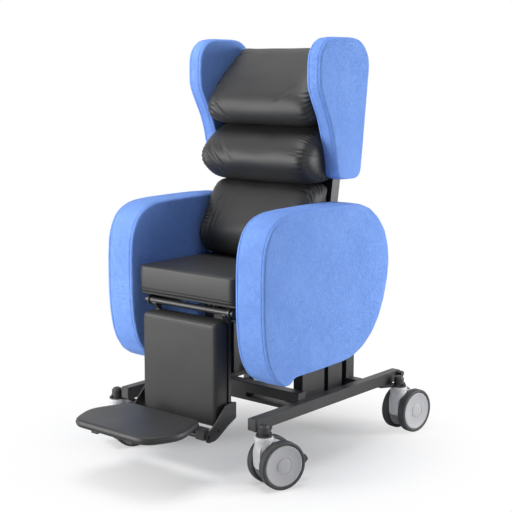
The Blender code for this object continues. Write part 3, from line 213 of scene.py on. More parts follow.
DISC_DARK = (0.46, 0.46, 0.48)
DISC_LIGHT = (0.53, 0.53, 0.55)
disc_plastic = Finish("grey_disc_plastic", "grey_plastic", Specular_IOR_Level=0.5)
shade = disc_plastic.grain(22.0, detail=3.0)
dulling = disc_plastic.grain(30.0)
speckle = disc_plastic.grain(1400.0, detail=1.0)
disc_colour = disc_plastic.mixed(shade, DISC_DARK, DISC_LIGHT)
disc_plastic.wear(disc_colour, 0.38 + dulling * 0.12, speckle * PLASTIC_SPECKLE)

TYRE_DARK = (0.035, 0.036, 0.037)
TYRE_LIGHT = (0.060, 0.061, 0.062)
TYRE_SCUFF = 0.00008
tyre_rubber = Finish("dark_grey_tyre", "grey_tyre", Specular_IOR_Level=0.45)
scuff = tyre_rubber.grain(60.0, detail=4.0)
tyre_colour = tyre_rubber.mixed(scuff, TYRE_DARK, TYRE_LIGHT)
tyre_rubber.wear(tyre_colour, 0.50 + scuff * 0.18, scuff * TYRE_SCUFF)


def outward(thing):
    """Turns a closed mesh's faces outwards."""
    work = bmesh.new()
    work.from_mesh(thing.data)
    bmesh.ops.recalc_face_normals(work, faces=work.faces)
    work.to_mesh(thing.data)
    work.free()
    return thing


def closed_form(name, verts, faces, finish):
    """A mesh object of a closed form in its finish, not yet on any body."""
    mesh = bpy.data.meshes.new(name)
    points = [tuple(map(float, point)) for point in verts]
    mesh.from_pydata(points, [], [tuple(map(int, face)) for face in faces])
    mesh.materials.append(finish.material)
    made = bpy.data.objects.new(name, mesh)
    bpy.context.scene.collection.objects.link(made)
    return outward(made)


def put_on(thing, body, sharp):
    """Shades a piece, smooth up to a sharp angle in degrees, and rides it on a body of the CAD model."""
    thing.data.shade_smooth()
    thing.data.set_sharp_from_angle(angle=math.radians(sharp))
    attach(thing, body)
    return thing


def skin(rings, closed=False):
    """A skin through rings of equal counts, closed on itself or with a point at each end."""
    rings = [np.asarray(ring, float) for ring in rings]
    count, turns = len(rings), len(rings[0])
    verts = np.concatenate(rings)
    after = np.roll(np.arange(turns), -1)
    faces = []
    for near in range(count if closed else count - 1):
        far = (near + 1) % count
        faces += [(near * turns + k, near * turns + after[k], far * turns + after[k], far * turns + k)
                  for k in range(turns)]
    if not closed:
        first, last = len(verts), len(verts) + 1
        verts = np.concatenate([verts, [rings[0].mean(0)], [rings[-1].mean(0)]])
        faces += [(first, after[k], k) for k in range(turns)]
        faces += [(last, (count - 1) * turns + k, (count - 1) * turns + after[k]) for k in range(turns)]
    return verts, faces


def turned(profile, sides, closed=False):
    """A profile of (along, radius) points turned about the X axis."""
    turns = np.linspace(0, math.tau, sides, endpoint=False)
    rings = [np.stack([np.full(sides, x), radius * np.cos(turns), radius * np.sin(turns)], 1)
             for x, radius in profile]
    return skin(rings, closed)


def arc(middle, radius, start, end, steps):
    """Points of an arc in a profile, with its angles in degrees."""
    turns = [math.radians(start + (end - start) * k / steps) for k in range(steps + 1)]
    return [(middle[0] + radius * math.cos(t), middle[1] + radius * math.sin(t)) for t in turns]


TYRE_DEPTH = 0.0108
TYRE_SHOULDER = 0.0052
TYRE_FIT = 0.0003
SHOULDER_STEPS = 6
DISC_STEP = 0.0010
DISC_RIM = 0.0030
RIM_STEPS = 5
CAP_RADIUS = 0.0245
CAP_GROOVE = 0.0012
CAP_RISE = 0.0006


def wheel_discs():
    """Both discs in one turned form: a round rim, a flat face, and a cap in a groove on each."""
    face = CASTOR_WIDTH / 2 - DISC_STEP
    inner = CASTOR_WIDTH / 2 - WHEEL_WIDTH + DISC_STEP
    rim = WHEEL_RADIUS - TYRE_DEPTH - TYRE_FIT
    dished = face - CAP_RISE
    half = [(inner, AXLE_RADIUS), (inner, rim)]
    half += arc((face - DISC_RIM, rim - DISC_RIM), DISC_RIM, 90, 0, RIM_STEPS)
    half += [(face, rim - DISC_RIM * 1.6), (dished, rim - DISC_RIM * 2.0)]
    half += [(dished, CAP_RADIUS + CAP_GROOVE * 2), (dished - CAP_GROOVE, CAP_RADIUS + CAP_GROOVE)]
    half += [(dished - CAP_GROOVE, CAP_RADIUS), (face - CAP_GROOVE / 2, CAP_RADIUS - CAP_GROOVE / 2)]
    half += [(face, CAP_RADIUS - CAP_GROOVE * 2), (face, CAP_RADIUS / 3)]
    return turned([(-x, radius) for x, radius in reversed(half)] + half, WHEEL_SIDES)


def tyre(side):
    """One tyre with round shoulders, at the +X or the -X end of its axle."""
    outer = CASTOR_WIDTH / 2
    inner = outer - WHEEL_WIDTH
    bore = WHEEL_RADIUS - TYRE_DEPTH
    tread = WHEEL_RADIUS - TYRE_SHOULDER
    profile = [(inner, bore), (inner, tread)]
    profile += arc((inner + TYRE_SHOULDER, tread), TYRE_SHOULDER, 180, 90, SHOULDER_STEPS)
    profile += arc((outer - TYRE_SHOULDER, tread), TYRE_SHOULDER, 90, 0, SHOULDER_STEPS)
    profile += [(outer, bore + DISC_RIM), (outer - DISC_STEP, bore)]
    return turned([(side * x, radius) for x, radius in profile], WHEEL_SIDES, closed=True)


def baked(thing):
    """Applies an object's modifiers to its mesh."""
    evaluated = thing.evaluated_get(bpy.context.evaluated_depsgraph_get())
    result = bpy.data.meshes.new_from_object(evaluated)
    thing.modifiers.clear()
    thing.data = result
    return thing


def worked(body, operations):
    """A form after Boolean unions and cuts with other forms, which it uses up."""
    for operation, other in operations:
        modifier = body.modifiers.new(operation, "BOOLEAN")
        modifier.operation = operation
        modifier.solver = "EXACT"
        modifier.object = other
        baked(body)
        bpy.data.objects.remove(other)
    return body


def eased(points, rounds):
    """A closed outline with its corners cut back again and again into curves."""
    points = np.asarray(points, float)
    for _ in range(rounds):
        after = np.roll(points, -1, axis=0)
        cut = [points * 0.75 + after * 0.25, points * 0.25 + after * 0.75]
        points = np.stack(cut, 1).reshape(-1, 2)
    return points


HEAD_RADIUS = 0.0288
HEAD_TOP = 0.1624
HEAD_DEPTH = 0.098
HEAD_FOOT = 0.92
HEAD_FOOT_EDGE = 0.96
HEAD_SIDES = 64
HOUSING_SHARP = 35
COLLAR = 0.011
COLLAR_GROOVE = 0.0014
WEB_ROUNDS = 2

# The web's outline round the axle, as shares of the wheel's radius behind it and above it
WEB_OUTLINE = ((-0.92, 0.96), (-0.92, -0.10), (-0.80, -0.20), (-0.10, -0.26), (0.40, -0.14), (0.74, 0.0),
               (0.92, 0.30), (0.90, 0.46), (0.80, 0.58), (0.52, 0.68), (0.20, 0.84), (0.0, 0.96))


def castor_housing(trail):
    """The collar and head over the stem, cut for the wheels, with the web that carries the axle."""
    web_half = CASTOR_WIDTH / 2 - WHEEL_WIDTH - WHEEL_ROOM
    low, groove_top = HEAD_TOP - HEAD_DEPTH, HEAD_TOP - COLLAR
    groove_radius = HEAD_RADIUS - COLLAR_GROOVE
    levels = [(low, HEAD_RADIUS * HEAD_FOOT), (low + EDGE_ROUND * 2, HEAD_RADIUS * HEAD_FOOT_EDGE)]
    levels += [(groove_top - COLLAR / 2, HEAD_RADIUS), (groove_top - COLLAR / 3, groove_radius)]
    levels += [(groove_top - COLLAR / 6, groove_radius), (groove_top, HEAD_RADIUS)]
    levels += [(HEAD_TOP - EDGE_ROUND * 2, HEAD_RADIUS)]
    levels += [(HEAD_TOP - EDGE_ROUND, HEAD_RADIUS - EDGE_ROUND / 2)]
    levels += [(HEAD_TOP, HEAD_RADIUS - EDGE_ROUND * 2)]
    turns = np.linspace(0, math.tau, HEAD_SIDES, endpoint=False)
    rings = [[(radius * math.cos(t), radius * math.sin(t), level) for t in turns]
             for level, radius in levels]
    head = closed_form("head", *skin(rings), moulded)
    room = WHEEL_RADIUS + WHEEL_ROOM
    operations = []
    for side in (-1, 1):
        verts, faces = turned([(side * web_half, room), (side * CASTOR_WIDTH, room)], WHEEL_SIDES)
        cutter = closed_form("wheel_room", verts + (0, trail, WHEEL_RADIUS), faces, moulded)
        operations.append(("DIFFERENCE", cutter))
    outline = [(trail + y * WHEEL_RADIUS, WHEEL_RADIUS * (1 + z)) for y, z in WEB_OUTLINE]
    plate = [[(level, y, z) for y, z in eased(outline, WEB_ROUNDS)] for level in (-web_half, web_half)]
    operations.append(("UNION", closed_form("web", *skin(plate), moulded)))
    return worked(head, operations)


joints = {joint["name"]: joint for joint in frame["joints"]}
for corner in ("front_left", "front_right", "rear_left", "rear_right"):
    castor = f"castor_{corner}"
    wheels = f"{castor}_wheels"
    swivel = Vector(joints[f"{castor}_swivel"]["pos_m"])
    axle = Vector(joints[f"{castor}_roll"]["pos_m"])
    across = Vector(joints[f"{castor}_roll"]["axis"])
    behind = Vector((-across.y, across.x, 0))
    turn = Matrix((across, behind, (0, 0, 1))).transposed().to_4x4()

    housing = castor_housing((axle - swivel).dot(behind))
    housing.name = housing.data.name = f"{castor}_moulding"
    housing.data.transform(Matrix.Translation((swivel.x, swivel.y, 0)) @ turn)
    put_on(housing, castor, HOUSING_SHARP)
    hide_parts(f"{castor}_housing")

    discs = closed_form(f"{castor}_discs", *wheel_discs(), disc_plastic)
    put_on(discs, wheels, WHEEL_SHARP)
    discs.data.transform(Matrix.Translation(axle) @ turn)
    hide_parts(f"{castor}_wheel_hubs")
    outer_side = 1 if corner.endswith("left") else -1
    for name, side in (("tyre_outer", outer_side), ("tyre_inner", -outer_side)):
        ring = closed_form(f"{castor}_{name}_ring", *tyre(side), tyre_rubber)
        put_on(ring, wheels, WHEEL_SHARP)
        ring.data.transform(Matrix.Translation(axle) @ turn)
        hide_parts(f"{castor}_{name}")
    coated(f"{castor}_brake_pedal", tyre_rubber)
for side in ("left", "right"):
    coated(f"base_rail_cap_{side}", tyre_rubber)


# Struts. Three lockable gas struts hold the tilt, the recline and the leg rest: a black cylinder, and a
# polished rod that slides in it, each with an eye on its pin.
ROD_DARK = (0.52, 0.52, 0.54)
ROD_LIGHT = (0.64, 0.64, 0.66)
ROD_FILM = 0.000004
polished = Finish("polished_rod", "strut_rod", Metallic=1.0)
film = polished.grain(90.0)
polished.wear(polished.mixed(film, ROD_DARK, ROD_LIGHT), 0.14 + film * 0.10, film * ROD_FILM)
for strut in ("tilt", "recline", "leg_rest"):
    coated(f"{strut}_strut_cylinder", powder_coat, 0.0)
    coated(f"{strut}_strut_rod", polished, 0.0)


# Boards. The seat pan and the back board are plywood, painted black, that the cushions lie on. The grain
# of the veneer still shows a little under the paint.
BOARD_DARK = (0.016, 0.016, 0.016)
BOARD_LIGHT = (0.030, 0.029, 0.028)
BOARD_GRAIN = 0.00008
painted_board = Finish("black_painted_board", "board", Specular_IOR_Level=0.4)
ply = painted_board.grain(60.0, detail=4.0, place=painted_board.stretched(1.0, 6.0, 6.0))
board_colour = painted_board.mixed(ply, BOARD_DARK, BOARD_LIGHT)
painted_board.wear(board_colour, 0.55 + ply * 0.2, ply * BOARD_GRAIN)
for board_name in ("seat_pan", "back_board"):
    coated(board_name, painted_board)


# Arms. Each is a thick board of foam round a frame, in soft blue coated cloth: two flat panels and a
# band between them, sewn together just round the corner, on the band, where the seam sinks in.
BLUE_DEEP = (0.175, 0.335, 0.860)
BLUE_PALE = (0.250, 0.450, 1.000)
cloth = Finish("soft_blue_cloth", "blue_upholstery", Specular_IOR_Level=0.18)
drift = cloth.grain(7.0, 3.0, 0.55)
mottle = cloth.grain(55.0, 4.0, 0.60, 0.8)
crease_and_painted_shade = 1 - cloth.limited(abs(cloth.grain(62.0, 3.0, 0.55, 1.6) - 0.5), 0.0, 0.05)
crinkle_and_painted_highlight = 1 - cloth.limited(abs(cloth.grain(75.0, 2.0, 0.5, 2.4) - 0.5), 0.0, 0.09)
pebble = cloth.grain(420.0, 2.0, 0.6)
tone = cloth.mixed(cloth.limited(drift * 0.5 + mottle * 0.5, 0.32, 0.68), BLUE_DEEP, BLUE_PALE)
# Painted shade: the cloth is darkened along the sunk creases, where shade falls in them.
tone = cloth.mixed(crease_and_painted_shade * 0.25, tone, BLUE_DEEP)
# Painted highlight: the cloth is lightened along the raised crinkles, where light catches them.
tone = cloth.mixed(crinkle_and_painted_highlight * 0.35, tone, BLUE_PALE)
relief = mottle * 0.0006 - crease_and_painted_shade * 0.00040 + crinkle_and_painted_highlight * 0.00070 + pebble * 0.00012
cloth.wear(tone, 0.66 + mottle * 0.16, relief)

# The arm's outline as shares of its box, from its foot round its rear, top and front
ARM_OUTLINE = ((0.150, 0.004), (0.190, 0.0), (0.212, 0.010), (0.225, 0.037), (0.380, 0.038),
               (0.492, 0.040), (0.625, 0.045), (0.692, 0.056), (0.778, 0.098), (0.856, 0.170),
               (0.916, 0.260), (0.960, 0.368), (0.989, 0.491), (1.0, 0.618), (0.988, 0.721),
               (0.957, 0.814), (0.899, 0.896), (0.826, 0.960), (0.739, 0.995), (0.605, 1.0),
               (0.445, 1.0), (0.291, 0.996), (0.187, 0.988), (0.129, 0.972), (0.080, 0.940),
               (0.045, 0.897), (0.020, 0.834), (0.006, 0.767), (0.0, 0.655), (0.0, 0.541),
               (0.001, 0.426), (0.009, 0.308), (0.023, 0.212), (0.045, 0.136), (0.087, 0.058))
LEVEL_DIGITS = 5
LEVEL_FIT = 1e-5


def outline_of(node, axis):
    """A CAD node's widest outline across an axis, in order anticlockwise, and its span along it."""
    mesh = frame["nodes"][node].data
    points = np.array([vertex.co for vertex in mesh.vertices])
    low, high = points[:, axis].min(), points[:, axis].max()
    levels = np.round(points[:, axis], LEVEL_DIGITS)
    flat = np.round(np.delete(points, axis, axis=1), LEVEL_DIGITS)
    size = {level: np.ptp(flat[levels == level], axis=0).sum() for level in np.unique(levels)}
    widest = [level for level in size if size[level] > max(size.values()) - LEVEL_FIT]
    best = max(widest, key=lambda level: (levels == level).sum())
    filled = {}
    for face in mesh.polygons:
        if all(levels[k] == best for k in face.vertices):
            for key in face.edge_keys:
                filled[key] = filled.get(key, 0) + 1
    beside = {}
    for edge in mesh.edges:
        near, far = edge.vertices
        if levels[near] == best and levels[far] == best and filled.get(edge.key, 0) < 2:
            near, far = tuple(flat[near]), tuple(flat[far])
            if near != far:
                beside.setdefault(near, set()).add(far)
                beside.setdefault(far, set()).add(near)
    start = min(beside)
    ring = [start, max(beside[start])]
    while len(ring) < len(beside):
        onward = [place for place in beside[ring[-1]] if place != ring[-2]]
        if not onward or onward[0] == start:
            break
        ring.append(onward[0])
    ring = np.array(ring)
    after = np.roll(ring, -1, axis=0)
    if (ring[:, 0] * after[:, 1] - ring[:, 1] * after[:, 0]).sum() < 0:
        ring = ring[::-1]
    return ring, low, high


OUTLINE_STEP = 0.005
OUTLINE_LEAST = 24
OUTLINE_ROUNDS = 6


def evenly(points, step, rounds):
    """A closed line through points, divided into even steps and smoothed."""
    closed = np.concatenate([points, points[:1]])
    run = np.concatenate([[0], np.cumsum(np.linalg.norm(np.diff(closed, axis=0), axis=1))])
    count = max(OUTLINE_LEAST, round(run[-1] / step))
    marks = np.linspace(0, run[-1], count, endpoint=False)
    line = np.stack([np.interp(marks, run, closed[:, k]) for k in (0, 1)], 1)
    for _ in range(rounds):
        line = line * 0.5 + (np.roll(line, 1, axis=0) + np.roll(line, -1, axis=0)) * 0.25
    return line


def drawn_in(outline, distance):
    """A closed outline, in order anticlockwise, moved in by a distance."""
    along = np.roll(outline, -1, axis=0) - np.roll(outline, 1, axis=0)
    along /= np.linalg.norm(along, axis=1, keepdims=True)
    return outline + np.stack([-along[:, 1], along[:, 0]], 1) * distance


SEAM_PLACE = 0.0115
SEAM_WIDTH = 0.0017
SEAM_DEPTH = 0.0021
SEAM_SHARPNESS = 0.55
SEAM_KEPT_CLEAR = 1.8
SEAM_MARKS = (-1.6, -1.0, -0.6, -0.25, 0.25, 0.6, 1.0, 1.6)
CORNER_POINTS = 6
BAND_POINTS = 9
BAND_CROWN = 0.0015


def seam_sunk(level, seams):
    """How far a band is sunk at a level by the seams along it."""
    width = SEAM_WIDTH * SEAM_SHARPNESS
    return sum(SEAM_DEPTH * math.exp(-((level - seam) / width) ** 2) for seam in seams)


def profile_of_band(low, high, corner, seams):
    """(distance in, level) points of a padded board's band: round corners, sunk seams and a crown."""
    start = [(corner * (1 - math.sin(t)), low + corner * (1 - math.cos(t)))
             for t in np.linspace(0, math.pi / 2, CORNER_POINTS)]
    end = [(inset, high - (level - low)) for inset, level in reversed(start)]
    levels = [level for level in np.linspace(low + corner, high - corner, BAND_POINTS)[1:-1]
              if all(abs(level - seam) > SEAM_WIDTH * SEAM_KEPT_CLEAR for seam in seams)]
    levels += [seam + mark * SEAM_WIDTH for seam in seams for mark in SEAM_MARKS]
    band = []
    for level in sorted(levels):
        share = (level - low - corner) / (high - low - 2 * corner)
        band.append((seam_sunk(level, seams) - BAND_CROWN * 4 * share * (1 - share), level))
    return start + band + end


PANEL_CORNER = 0.0075
PANEL_STEPS = 12
PANEL_SPREAD = 0.8


def board_rings(outline, low, high, corner, seams):
    """Rings of a padded board, from the middle of its low face to the middle of its high one."""
    middle = (outline.min(0) + outline.max(0)) / 2
    near = drawn_in(outline, corner)
    shares = [(k / PANEL_STEPS) ** PANEL_SPREAD for k in range(1, PANEL_STEPS)]
    panel = [middle + (near - middle) * share for share in shares]
    band = profile_of_band(low, high, corner, seams)
    rings = [(ring, low) for ring in panel]
    rings += [(drawn_in(outline, inset), level) for inset, level in band]
    rings += [(ring, high) for ring in reversed(panel)]
    return rings


def along_axis(rings, axis):
    """Rings in space, from flat outlines and their levels along an axis."""
    return [np.insert(ring, axis, level, axis=1) for ring, level in rings]


def rows(collection, name):
    """A vector of each vertex of a mesh, as rows of three."""
    values = np.empty(len(collection) * 3)
    collection.foreach_get(name, values)
    return values.reshape(-1, 3)


def moved_to(thing, places):
    """Moves a mesh's vertices to new places."""
    thing.data.vertices.foreach_set("co", places.ravel())
    thing.data.update()
    return thing


SAG = 0.0007
SAG_SCALE = 9.0


def settled(thing, seed):
    """Lets a padded surface rise and fall a little along its normals, as foam does under its cover."""
    places, normals = rows(thing.data.vertices, "co"), rows(thing.data.vertex_normals, "vector")
    shift = Vector((seed, 0, seed))
    rise = np.array([noise.noise(Vector(point * SAG_SCALE) + shift) for point in places])
    return moved_to(thing, places + normals * (rise * SAG)[:, None])


BOARD_SHARP = 60


def padded_board(name, node, axis, finish, body, corner, seam_places, seed,
                 rounds=OUTLINE_ROUNDS, shares=None):
    """A padded board that stands for a CAD node, along its outline or one given as shares of its box.

    A seam's place is its distance from the low face, or below zero from the high one.
    """
    ring, low, high = outline_of(node, axis)
    if shares is not None:
        ring = ring.min(0) + np.array(shares) * np.ptp(ring, axis=0)
    seams = [low + place if place > 0 else high + place for place in seam_places]
    rings = board_rings(evenly(ring, OUTLINE_STEP, rounds), low, high, corner, seams)
    made = closed_form(name, *skin(along_axis(rings, axis)), finish)
    put_on(made, body, BOARD_SHARP)
    settled(made, seed)
    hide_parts(node)


BOTH_SEAMS = (SEAM_PLACE, -SEAM_PLACE)
ARM_SEEDS = {"left": 0.0, "right": 3.7}
for side, arm_seed in ARM_SEEDS.items():
    padded_board(f"arm_{side}_upholstery", f"arm_{side}", 0, cloth, "seat", PANEL_CORNER, BOTH_SEAMS,
                 arm_seed, shares=ARM_OUTLINE)


# Wings. Each head wing is a thinner board of foam, upholstered in the blue cloth as the arms are, with a
# seam beside either panel. It is screwed to two blocks on the post beside the pillows.
WING_SEEDS = {"left": 11.0, "right": 14.7}
for side, wing_seed in WING_SEEDS.items():
    padded_board(f"wing_{side}_upholstery", f"wing_{side}", 0, cloth, "back", PANEL_CORNER, BOTH_SEAMS,
                 wing_seed)


# Seat cushion. A firm foam block in black vinyl that lies on the seat pan: the top panel and the band
# are one piece over its edges, sewn to the bottom panel low on the band.
VINYL_DARK = (0.022, 0.022, 0.0225)
VINYL_LIGHT = (0.034, 0.034, 0.0345)
VINYL_PORE = 0.00005
VINYL_SOFT = 0.0010
vinyl = Finish("soft_black_vinyl", "black_vinyl", Specular_IOR_Level=0.34)
soft = vinyl.grain(10.0, detail=3.0)
pores = vinyl.limited(vinyl.cells(620.0), 0.0, 0.25)
vinyl_colour = vinyl.mixed(soft, VINYL_DARK, VINYL_LIGHT)
vinyl.wear(vinyl_colour, 0.40 + soft * 0.12, pores * VINYL_PORE + soft * VINYL_SOFT)

CUSHION_CORNER = 0.008
CUSHION_ROUNDS = 2
CUSHION_SEED = 23
padded_board("seat_cushion_cover", "seat_cushion", 2, vinyl, "seat", CUSHION_CORNER, (SEAM_PLACE,),
             CUSHION_SEED, CUSHION_ROUNDS)


# Pillows. Three soft fibre pillows hang one over another on the back, in the same vinyl. Each is a
# sleeve with a sewn panel at either end: it is gathered at that seam, and creased where it hangs full.
PILLOW_VOXEL = 0.006
PILLOW_PRESSURE = 4.0
PILLOW_CAP = 0.006
PILLOW_FRAMES = 20
LEAST_LENGTH = 1e-9


def blown_up(thing):
    """Remeshes a shape evenly and lets cloth under pressure swell it, by no more than the cap."""
    remesh = thing.modifiers.new("even", "REMESH")
    remesh.mode = "VOXEL"
    remesh.voxel_size = PILLOW_VOXEL
    baked(thing)
    before = rows(thing.data.vertices, "co")
    cover = thing.modifiers.new("cover", "CLOTH")
    cover.settings.use_pressure = True
    cover.settings.uniform_pressure_force = PILLOW_PRESSURE
    cover.settings.effector_weights.gravity = 0
    scene = bpy.context.scene
    for step in range(1, PILLOW_FRAMES + 1):
        scene.frame_set(step)
    swollen = thing.evaluated_get(bpy.context.evaluated_depsgraph_get())
    shift = rows(swollen.data.vertices, "co") - before
    thing.modifiers.clear()
    scene.frame_set(1)
    shift -= shift.mean(0)
    length = np.linalg.norm(shift, axis=1, keepdims=True)
    return moved_to(thing, before + shift * np.minimum(1, PILLOW_CAP / np.maximum(length, LEAST_LENGTH)))


RELAXING = 60
RELAX_RATE = 0.5
RELAX_LEAST = 0.08
RELAXED_SHARE = 0.55


def relaxed(thing):
    """Smooths a pillow as its soft filling does, most at its front, and keeps the room that it had."""
    mesh = thing.data
    places = rows(mesh.vertices, "co")
    low, high = places.min(0), places.max(0)
    ends = np.empty(len(mesh.edges) * 2, dtype=np.int32)
    mesh.edges.foreach_get("vertices", ends)
    near, far = ends.reshape(-1, 2).T
    count = len(places)
    degree = np.bincount(ends, minlength=count)[:, None]
    from_rear = (high[1] - places[:, 1:2]) / (high[1] - low[1])
    ease = RELAX_RATE * np.clip(from_rear / RELAXED_SHARE, RELAX_LEAST, 1)
    for _ in range(RELAXING):
        total = [np.bincount(near, places[far, k], count) + np.bincount(far, places[near, k], count)
                 for k in range(3)]
        places = places + (np.stack(total, 1) / degree - places) * ease
    now_low, now_high = places.min(0), places.max(0)
    return moved_to(thing, low + (places - now_low) * (high - low) / (now_high - now_low))


SECTION_STEP = 0.006
SECTION_ROUNDS = 4
ARC_POINTS = 7
END_ROUND = 0.024
END_NARROW = 0.86
END_KEPT_SHARE = 0.30
END_SHARES = (0.25, 0.5, 0.75)
STATION_COUNT = 49
STATIONS = np.sin(np.linspace(-math.pi / 2, math.pi / 2, STATION_COUNT))


def with_round_corners(corners):
    """The outline of a polygon whose corners, each (y, z, radius), are rounded by arcs."""
    outline = []
    for k, (y, z, radius) in enumerate(corners):
        corner = Vector((y, z))
        before = (Vector(corners[k - 1][:2]) - corner).normalized()
        after = (Vector(corners[(k + 1) % len(corners)][:2]) - corner).normalized()
        half = before.angle(after) / 2
        middle = corner + (before + after).normalized() * radius / math.sin(half)
        start, end = (corner + way * radius / math.tan(half) - middle for way in (before, after))
        sweep = math.atan2(start.cross(end), start.dot(end))
        outline += [middle + Matrix.Rotation(sweep * share, 2) @ start
                    for share in np.linspace(0, 1, ARC_POINTS)]
    return np.array(outline)


def pillow_rings(section, low, high):
    """Rings of a pillow from end to end, drawn in over its round ends towards the board behind it."""
    rear, front = section[:, 0].max(), section[:, 0].min()
    middle = np.array([rear - (rear - front) * END_KEPT_SHARE, section[:, 1].mean()])
    half = (high - low) / 2
    rings = []
    for station in STATIONS:
        over = max(0.0, abs(station) * half - (half - END_ROUND)) / END_ROUND
        scale = 1 - (1 - END_NARROW) * (1 - math.sqrt(max(0.0, 1 - over**2)))
        rings.append((middle + (section - middle) * scale, (low + high) / 2 + station * half))
    (first, start), (last, end) = rings[0], rings[-1]
    rings = [(middle + (first - middle) * share, start) for share in END_SHARES] + rings
    return rings + [(middle + (last - middle) * share, end) for share in reversed(END_SHARES)]


PANEL_SEAM = 0.013
PINCH_WIDTH = 0.0045
PINCH_DEPTH = 0.0008
GATHER_PITCH = 0.0165
GATHER_DEPTH = 0.0034
GATHER_REACH = 0.036
GATHER_REACH_PANEL = 0.010
GATHER_WANDER = 0.9
GATHER_MEAN, GATHER_LEAST, GATHER_MOST = 0.7, 0.2, 1.4
WANDER_SCALES = (14.0, 11.0, 1.0)
VARY_SCALES = (37.0, 1.0, 1.0)


def waves(scales, *columns):
    """Smooth noise from -1 to 1 at rows of values, each column with its own scale."""
    return np.array([noise.noise(Vector(row)) for row in np.stack(columns, 1) * np.array(scales)])


def gathered(along, run, level):
    """How deep the gathers at both panel seams sink, from places along and round the pillow."""
    low, high = along.min(), along.max()
    middle = (low + high) / 2
    sunk = 0
    for side in (-1, 1):
        inside = (high - PANEL_SEAM) - side * (along - middle) - middle
        wander = waves(WANDER_SCALES, run, inside, level + side)
        strength = GATHER_MEAN + waves(VARY_SCALES, run, level, level + side)
        vary = np.clip(strength, GATHER_LEAST, GATHER_MOST)
        furrow = (0.5 - 0.5 * np.cos(math.tau * (run / GATHER_PITCH + wander * GATHER_WANDER))) ** 2
        reach = np.where(inside > 0, GATHER_REACH, GATHER_REACH_PANEL) * vary
        sunk += GATHER_DEPTH * vary * furrow * np.exp(-(inside / reach) ** 2)
        sunk += PINCH_DEPTH * np.exp(-(inside / PINCH_WIDTH) ** 2)
    return sunk


FOLD_LIP = 0.6
FOLD_LIP_PLACE = 1.6
FOLD_TAPER = 0.7


def creased(places, facing, start, end, width, depth):
    """How deep a crease sinks: a furrow with a lip on one side, tapering to its ends."""
    start, end = np.array(start), np.array(end)
    line = end - start
    spot = places[:, [0, 2]] - start
    share = np.clip((spot @ line) / (line @ line), 0, 1)
    off = spot - share[:, None] * line
    away = off @ np.array([-line[1], line[0]]) / np.linalg.norm(line)
    taper = np.clip(share * (1 - share) * 4, 0, 1) ** FOLD_TAPER
    lip = FOLD_LIP * np.exp(-((away - width * FOLD_LIP_PLACE) / width) ** 2)
    return depth * (np.exp(-(away / width) ** 2) - lip) * taper * facing


UNEVEN = 0.0016
UNEVEN_SCALES = (9.0, 11.0, 1.0)


def sewn(thing, creases, seed):
    """Sinks the panel seams with their gathers, and creases, into a pillow's surface."""
    places, normals = rows(thing.data.vertices, "co"), rows(thing.data.vertex_normals, "vector")
    low, high = places.min(0), places.max(0)
    middle = (low + high) / 2
    around = np.arctan2(places[:, 2] - middle[2], middle[1] - places[:, 1])
    run = around * (high - low)[1:].mean() / 2
    level = np.full(len(places), float(seed))
    sunk = UNEVEN * waves(UNEVEN_SCALES, places[:, 0], run, level) + gathered(places[:, 0], run, level)
    facing = np.clip(-normals[:, 1] * 2, 0, 1)
    for fold in creases:
        sunk += creased(places, facing, *fold)
    return moved_to(thing, places - normals * sunk[:, None])


PILLOW_SHARP = 180


def soft_pillow(name, node, shares, creases, seed):
    """A pillow with its own section, creases and seed, that stands for a CAD node."""
    (x_low, front, bottom), (x_high, rear, top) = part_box(node)
    depth, height = rear - front, top - bottom
    corners = [(rear - depth * u, bottom + height * v, height * radius) for u, v, radius in shares]
    section = evenly(with_round_corners(corners), SECTION_STEP, SECTION_ROUNDS)
    made = closed_form(name, *skin(along_axis(pillow_rings(section, x_low, x_high), 0)), vinyl)
    put_on(made, "back", PILLOW_SHARP)
    relaxed(blown_up(made))
    finer = made.modifiers.new("finer", "SUBSURF")
    finer.levels = finer.render_levels = 1
    baked(made)
    sewn(made, creases, seed)
    made.data.shade_smooth()
    made.data.materials.clear()
    made.data.materials.append(vinyl.material)
    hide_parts(node)


# Each pillow's section: a corner's place as shares of the pillow's depth, from its rear, and of its
# height, and the corner's radius as a share of the height
LUMBAR_SECTION = ((0.015, 0.955, 0.05), (0.515, 0.955, 0.08), (0.79, 0.65, 0.8), (0.985, 0.330, 0.24),
                  (0.975, 0.01, 0.17), (0.18, 0.01, 0.06))
MIDDLE_SECTION = ((0.02, 0.885, 0.05), (0.385, 0.885, 0.09), (0.72, 0.71, 0.7), (0.975, 0.450, 0.19),
                  (0.975, 0.260, 0.17), (0.64, 0.0, 0.17), (0.15, 0.0, 0.08))
HEAD_SECTION = ((0.01, 1.0, 0.03), (0.107, 1.0, 0.06), (0.63, 0.63, 1.0), (0.985, 0.225, 0.18),
                (0.965, -0.045, 0.17), (0.17, -0.04, 0.08))

# Each pillow's creases: from and to in the front view (x, z), half width and depth
LUMBAR_CREASES = (((-0.108, 0.872), (-0.165, 0.765), 0.0050, 0.0040),
                  ((-0.160, 0.790), (-0.178, 0.672), 0.0050, 0.0045),
                  ((-0.132, 0.825), (-0.158, 0.668), 0.0055, 0.0035),
                  ((-0.088, 0.840), (-0.132, 0.740), 0.0060, 0.0028),
                  ((-0.192, 0.745), (-0.183, 0.655), 0.0040, 0.0035))
MIDDLE_CREASES = (((-0.198, 0.985), (-0.135, 0.908), 0.0060, 0.0035),
                  ((-0.184, 1.010), (-0.105, 0.918), 0.0070, 0.0030),
                  ((-0.150, 1.025), (-0.078, 0.950), 0.0080, 0.0022),
                  ((-0.207, 0.956), (-0.170, 0.906), 0.0050, 0.0035))
HEAD_CREASES = (((-0.190, 1.155), (-0.120, 1.090), 0.0070, 0.0030),
                ((-0.206, 1.126), (-0.140, 1.076), 0.0060, 0.0028),
                ((0.150, 1.200), (0.080, 1.150), 0.0080, 0.0022))

